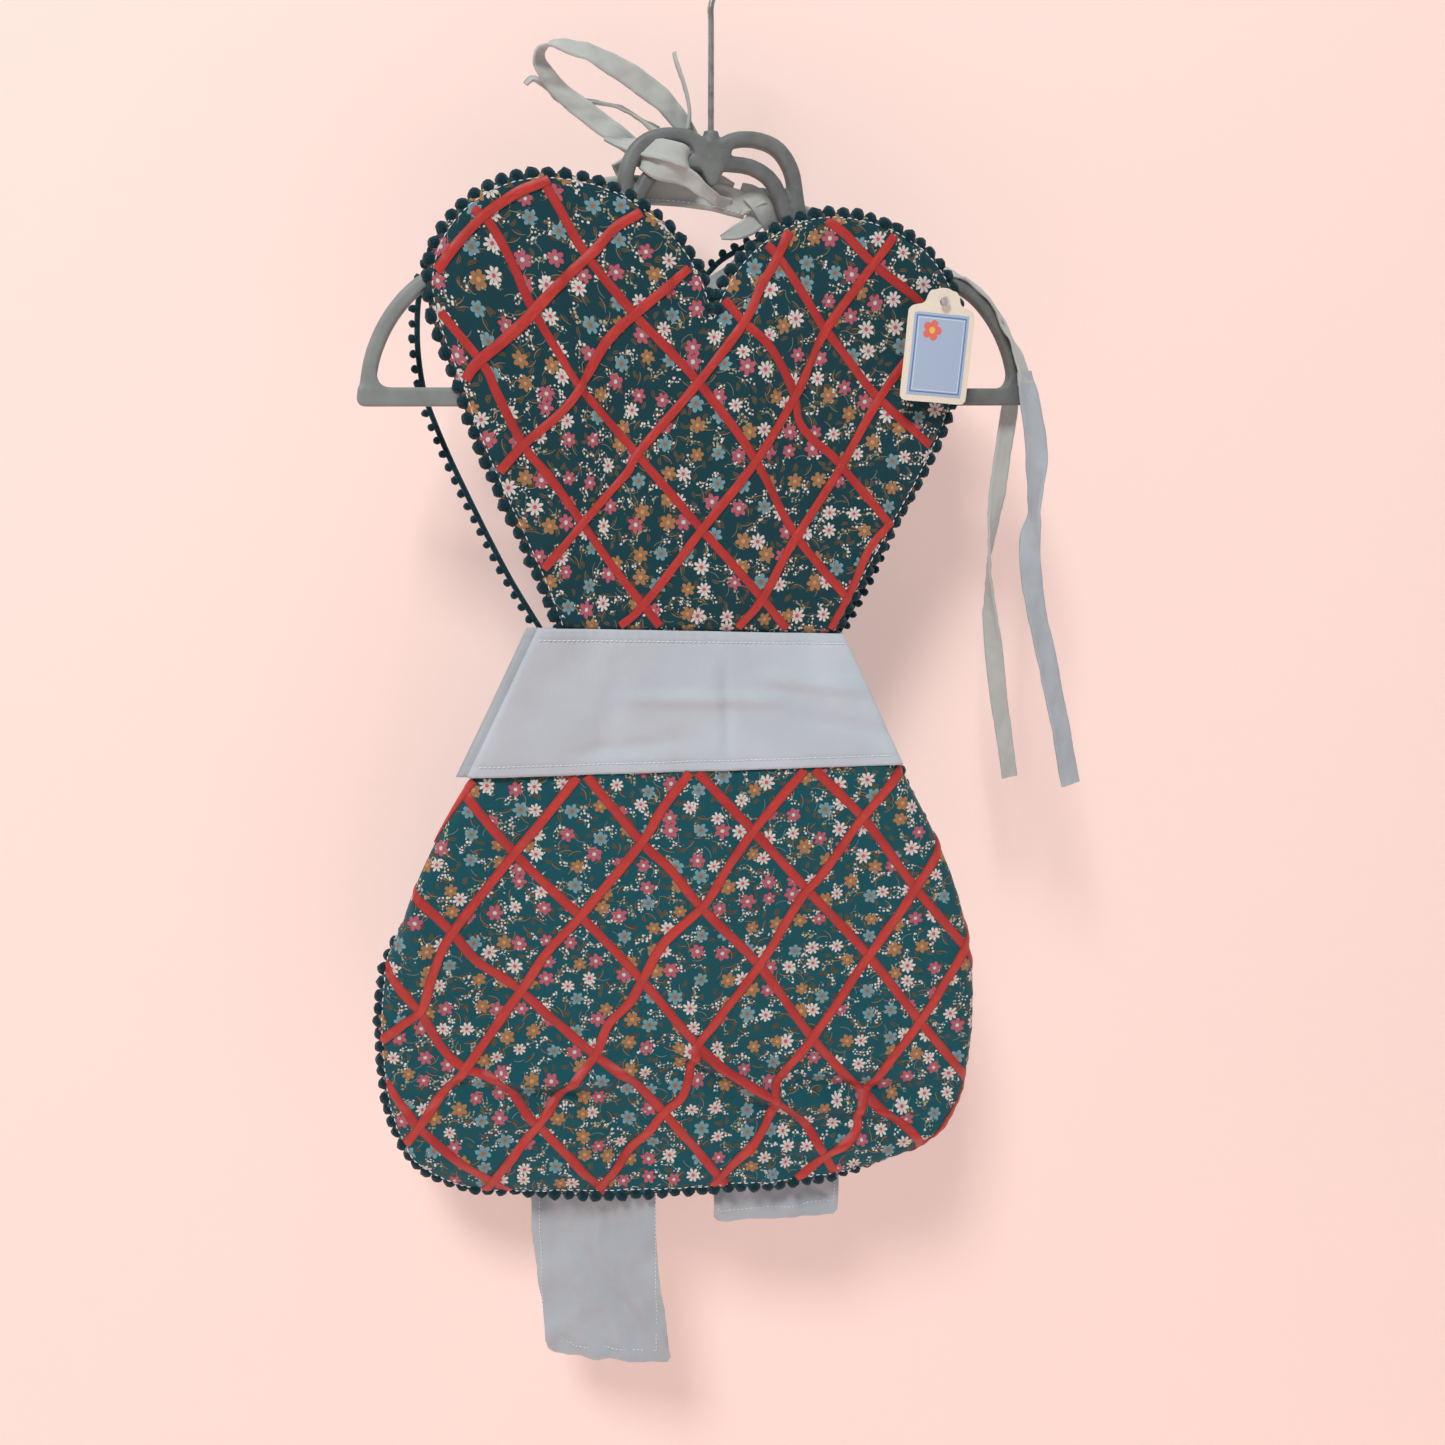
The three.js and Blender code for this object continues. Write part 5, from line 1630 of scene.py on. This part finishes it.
# ---------- stage, camera and light ----------
class APRON_OT_stage(bpy.types.Operator):
    """Set the pale floor and backdrop, the studio lights and the camera"""
    bl_idname = "apron.stage"
    bl_label = "Stage"

    def area_light(self, name, place, look, size, power, colour):
        """A square light at a place in metres, turned to look at a point."""
        data = bpy.data.lights.new(name, "AREA")
        data.shape = "SQUARE"
        data.size = size
        data.energy = power
        data.color = colour
        light = bpy.data.objects.new(name, data)
        light.location = place
        light.rotation_euler = (Vector(look) - Vector(place)).to_track_quat("-Z", "Y").to_euler()
        bpy.context.scene.collection.objects.link(light)

    def flat_stage(self, name, corners, material):
        """One sheet of the backdrop paper."""
        mesh = bpy.data.meshes.new(name)
        mesh.from_pydata(corners, [], [(0, 1, 2, 3)])
        mesh.materials.append(material)
        stage = bpy.data.objects.new(name, mesh)
        bpy.context.scene.collection.objects.link(stage)

    def execute(self, context):
        colours = context.scene.apron_colours
        finish = Finish("backdrop_paper")
        paper = finish.node("ShaderNodeBsdfPrincipled", None, {
            "Base Color": opaque(tone(colours.wall, 0.93)), "Roughness": 0.95,
            "Specular IOR Level": 0.1,
            "Emission Color": opaque(colours.wall), "Emission Strength": 0.2})
        clear = finish.node("ShaderNodeBsdfTransparent")
        behind = Term(finish, finish.node("ShaderNodeNewGeometry").outputs["Backfacing"])
        shadow = Term(finish, finish.node("ShaderNodeLightPath").outputs["Is Shadow Ray"])
        one_sided = finish.node("ShaderNodeMixShader", None, {
            0: behind.at_least(shadow), 1: paper.outputs[0], 2: clear.outputs[0]})
        finish.node("ShaderNodeOutputMaterial", None, {"Surface": one_sided.outputs[0]})
        floor, wall = -1.3, 0.10
        self.flat_stage("floor", [(-5, -5, floor), (5, -5, floor), (5, 5, floor), (-5, 5, floor)],
                        finish.material)
        self.flat_stage("backdrop", [(-4, wall, floor), (4, wall, floor), (4, wall, 2.5),
                                     (-4, wall, 2.5)],
                        finish.material)
        middle = (0, 0, -0.5)
        self.area_light("key_light", (-1.5, -2.6, 2.8), middle, 1.0, 128, (1.0, 0.97, 0.94))
        self.area_light("fill_light", (2.2, -2.4, 0.1), middle, 2.6, 3, (0.96, 0.97, 1.0))
        self.area_light("top_light", (0.2, -0.6, 2.0), middle, 2.2, 7, (1.0, 0.98, 0.97))
        self.area_light("rear_light", (0.6, 2.6, 0.8), middle, 2.4, 24, (1.0, 0.98, 0.97))
        world = bpy.data.worlds.new("soft_room")
        context.scene.world = world
        world.use_nodes = True
        tree = world.node_tree
        light = tree.nodes["Background"]
        light.inputs["Color"].default_value = (0.90, 0.94, 1.0, 1.0)
        light.inputs["Strength"].default_value = 0.22
        seen = tree.nodes.new("ShaderNodeBackground")
        seen.inputs["Color"].default_value = opaque(colours.wall)
        seen.inputs["Strength"].default_value = 0.9
        ray = tree.nodes.new("ShaderNodeLightPath")
        either = tree.nodes.new("ShaderNodeMixShader")
        tree.links.new(ray.outputs["Is Camera Ray"], either.inputs[0])
        tree.links.new(light.outputs[0], either.inputs[1])
        tree.links.new(seen.outputs[0], either.inputs[2])
        tree.links.new(either.outputs[0], tree.nodes["World Output"].inputs["Surface"])
        context.scene.view_settings.view_transform = "Standard"
        camera_data = bpy.data.cameras.new("camera")
        camera_data.lens = 35.13
        camera_data.sensor_width = 36
        camera_data.shift_x = 0.008
        camera = bpy.data.objects.new("camera", camera_data)
        camera.location = (-0.2392, -0.8624, -0.285)
        camera.rotation_euler = (math.radians(77), 0, math.radians(-15.5))
        context.scene.collection.objects.link(camera)
        context.scene.camera = camera
        return {"FINISHED"}


# ---------- sidebar ----------
STEPS = (APRON_OT_stage, APRON_OT_hook, APRON_OT_hanger, APRON_OT_bib, APRON_OT_skirt,
         APRON_OT_waistband, APRON_OT_yoke, APRON_OT_neck_strap, APRON_OT_tails,
         APRON_OT_waist_ties, APRON_OT_tag)


class APRON_PT_sidebar(bpy.types.Panel):
    """Sizes, colours and making steps of the apron"""
    bl_idname = "APRON_PT_sidebar"
    bl_label = "Halter Apron"
    bl_space_type = "VIEW_3D"
    bl_region_type = "UI"
    bl_category = "Apron"

    def draw(self, context):
        for group in (context.scene.apron_sizes, context.scene.apron_colours):
            column = self.layout.column(align=True)
            for name in group.bl_rna.properties.keys():
                if name not in ("rna_type", "name"):
                    column.prop(group, name)
        column = self.layout.column(align=True)
        for step in STEPS:
            column.operator(step.bl_idname)


CLASSES = (ApronSizes, ApronColours) + STEPS + (APRON_PT_sidebar,)


def register():
    for entry in CLASSES:
        bpy.utils.register_class(entry)
    bpy.types.Scene.apron_sizes = PointerProperty(type=ApronSizes)
    bpy.types.Scene.apron_colours = PointerProperty(type=ApronColours)


def unregister():
    del bpy.types.Scene.apron_colours
    del bpy.types.Scene.apron_sizes
    for entry in reversed(CLASSES):
        bpy.utils.unregister_class(entry)


def main():
    """Register the add-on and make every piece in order."""
    register()
    for step in STEPS:
        group, name = step.bl_idname.split(".")
        getattr(getattr(bpy.ops, group), name)()
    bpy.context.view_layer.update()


if __name__ == "__main__":
    main()
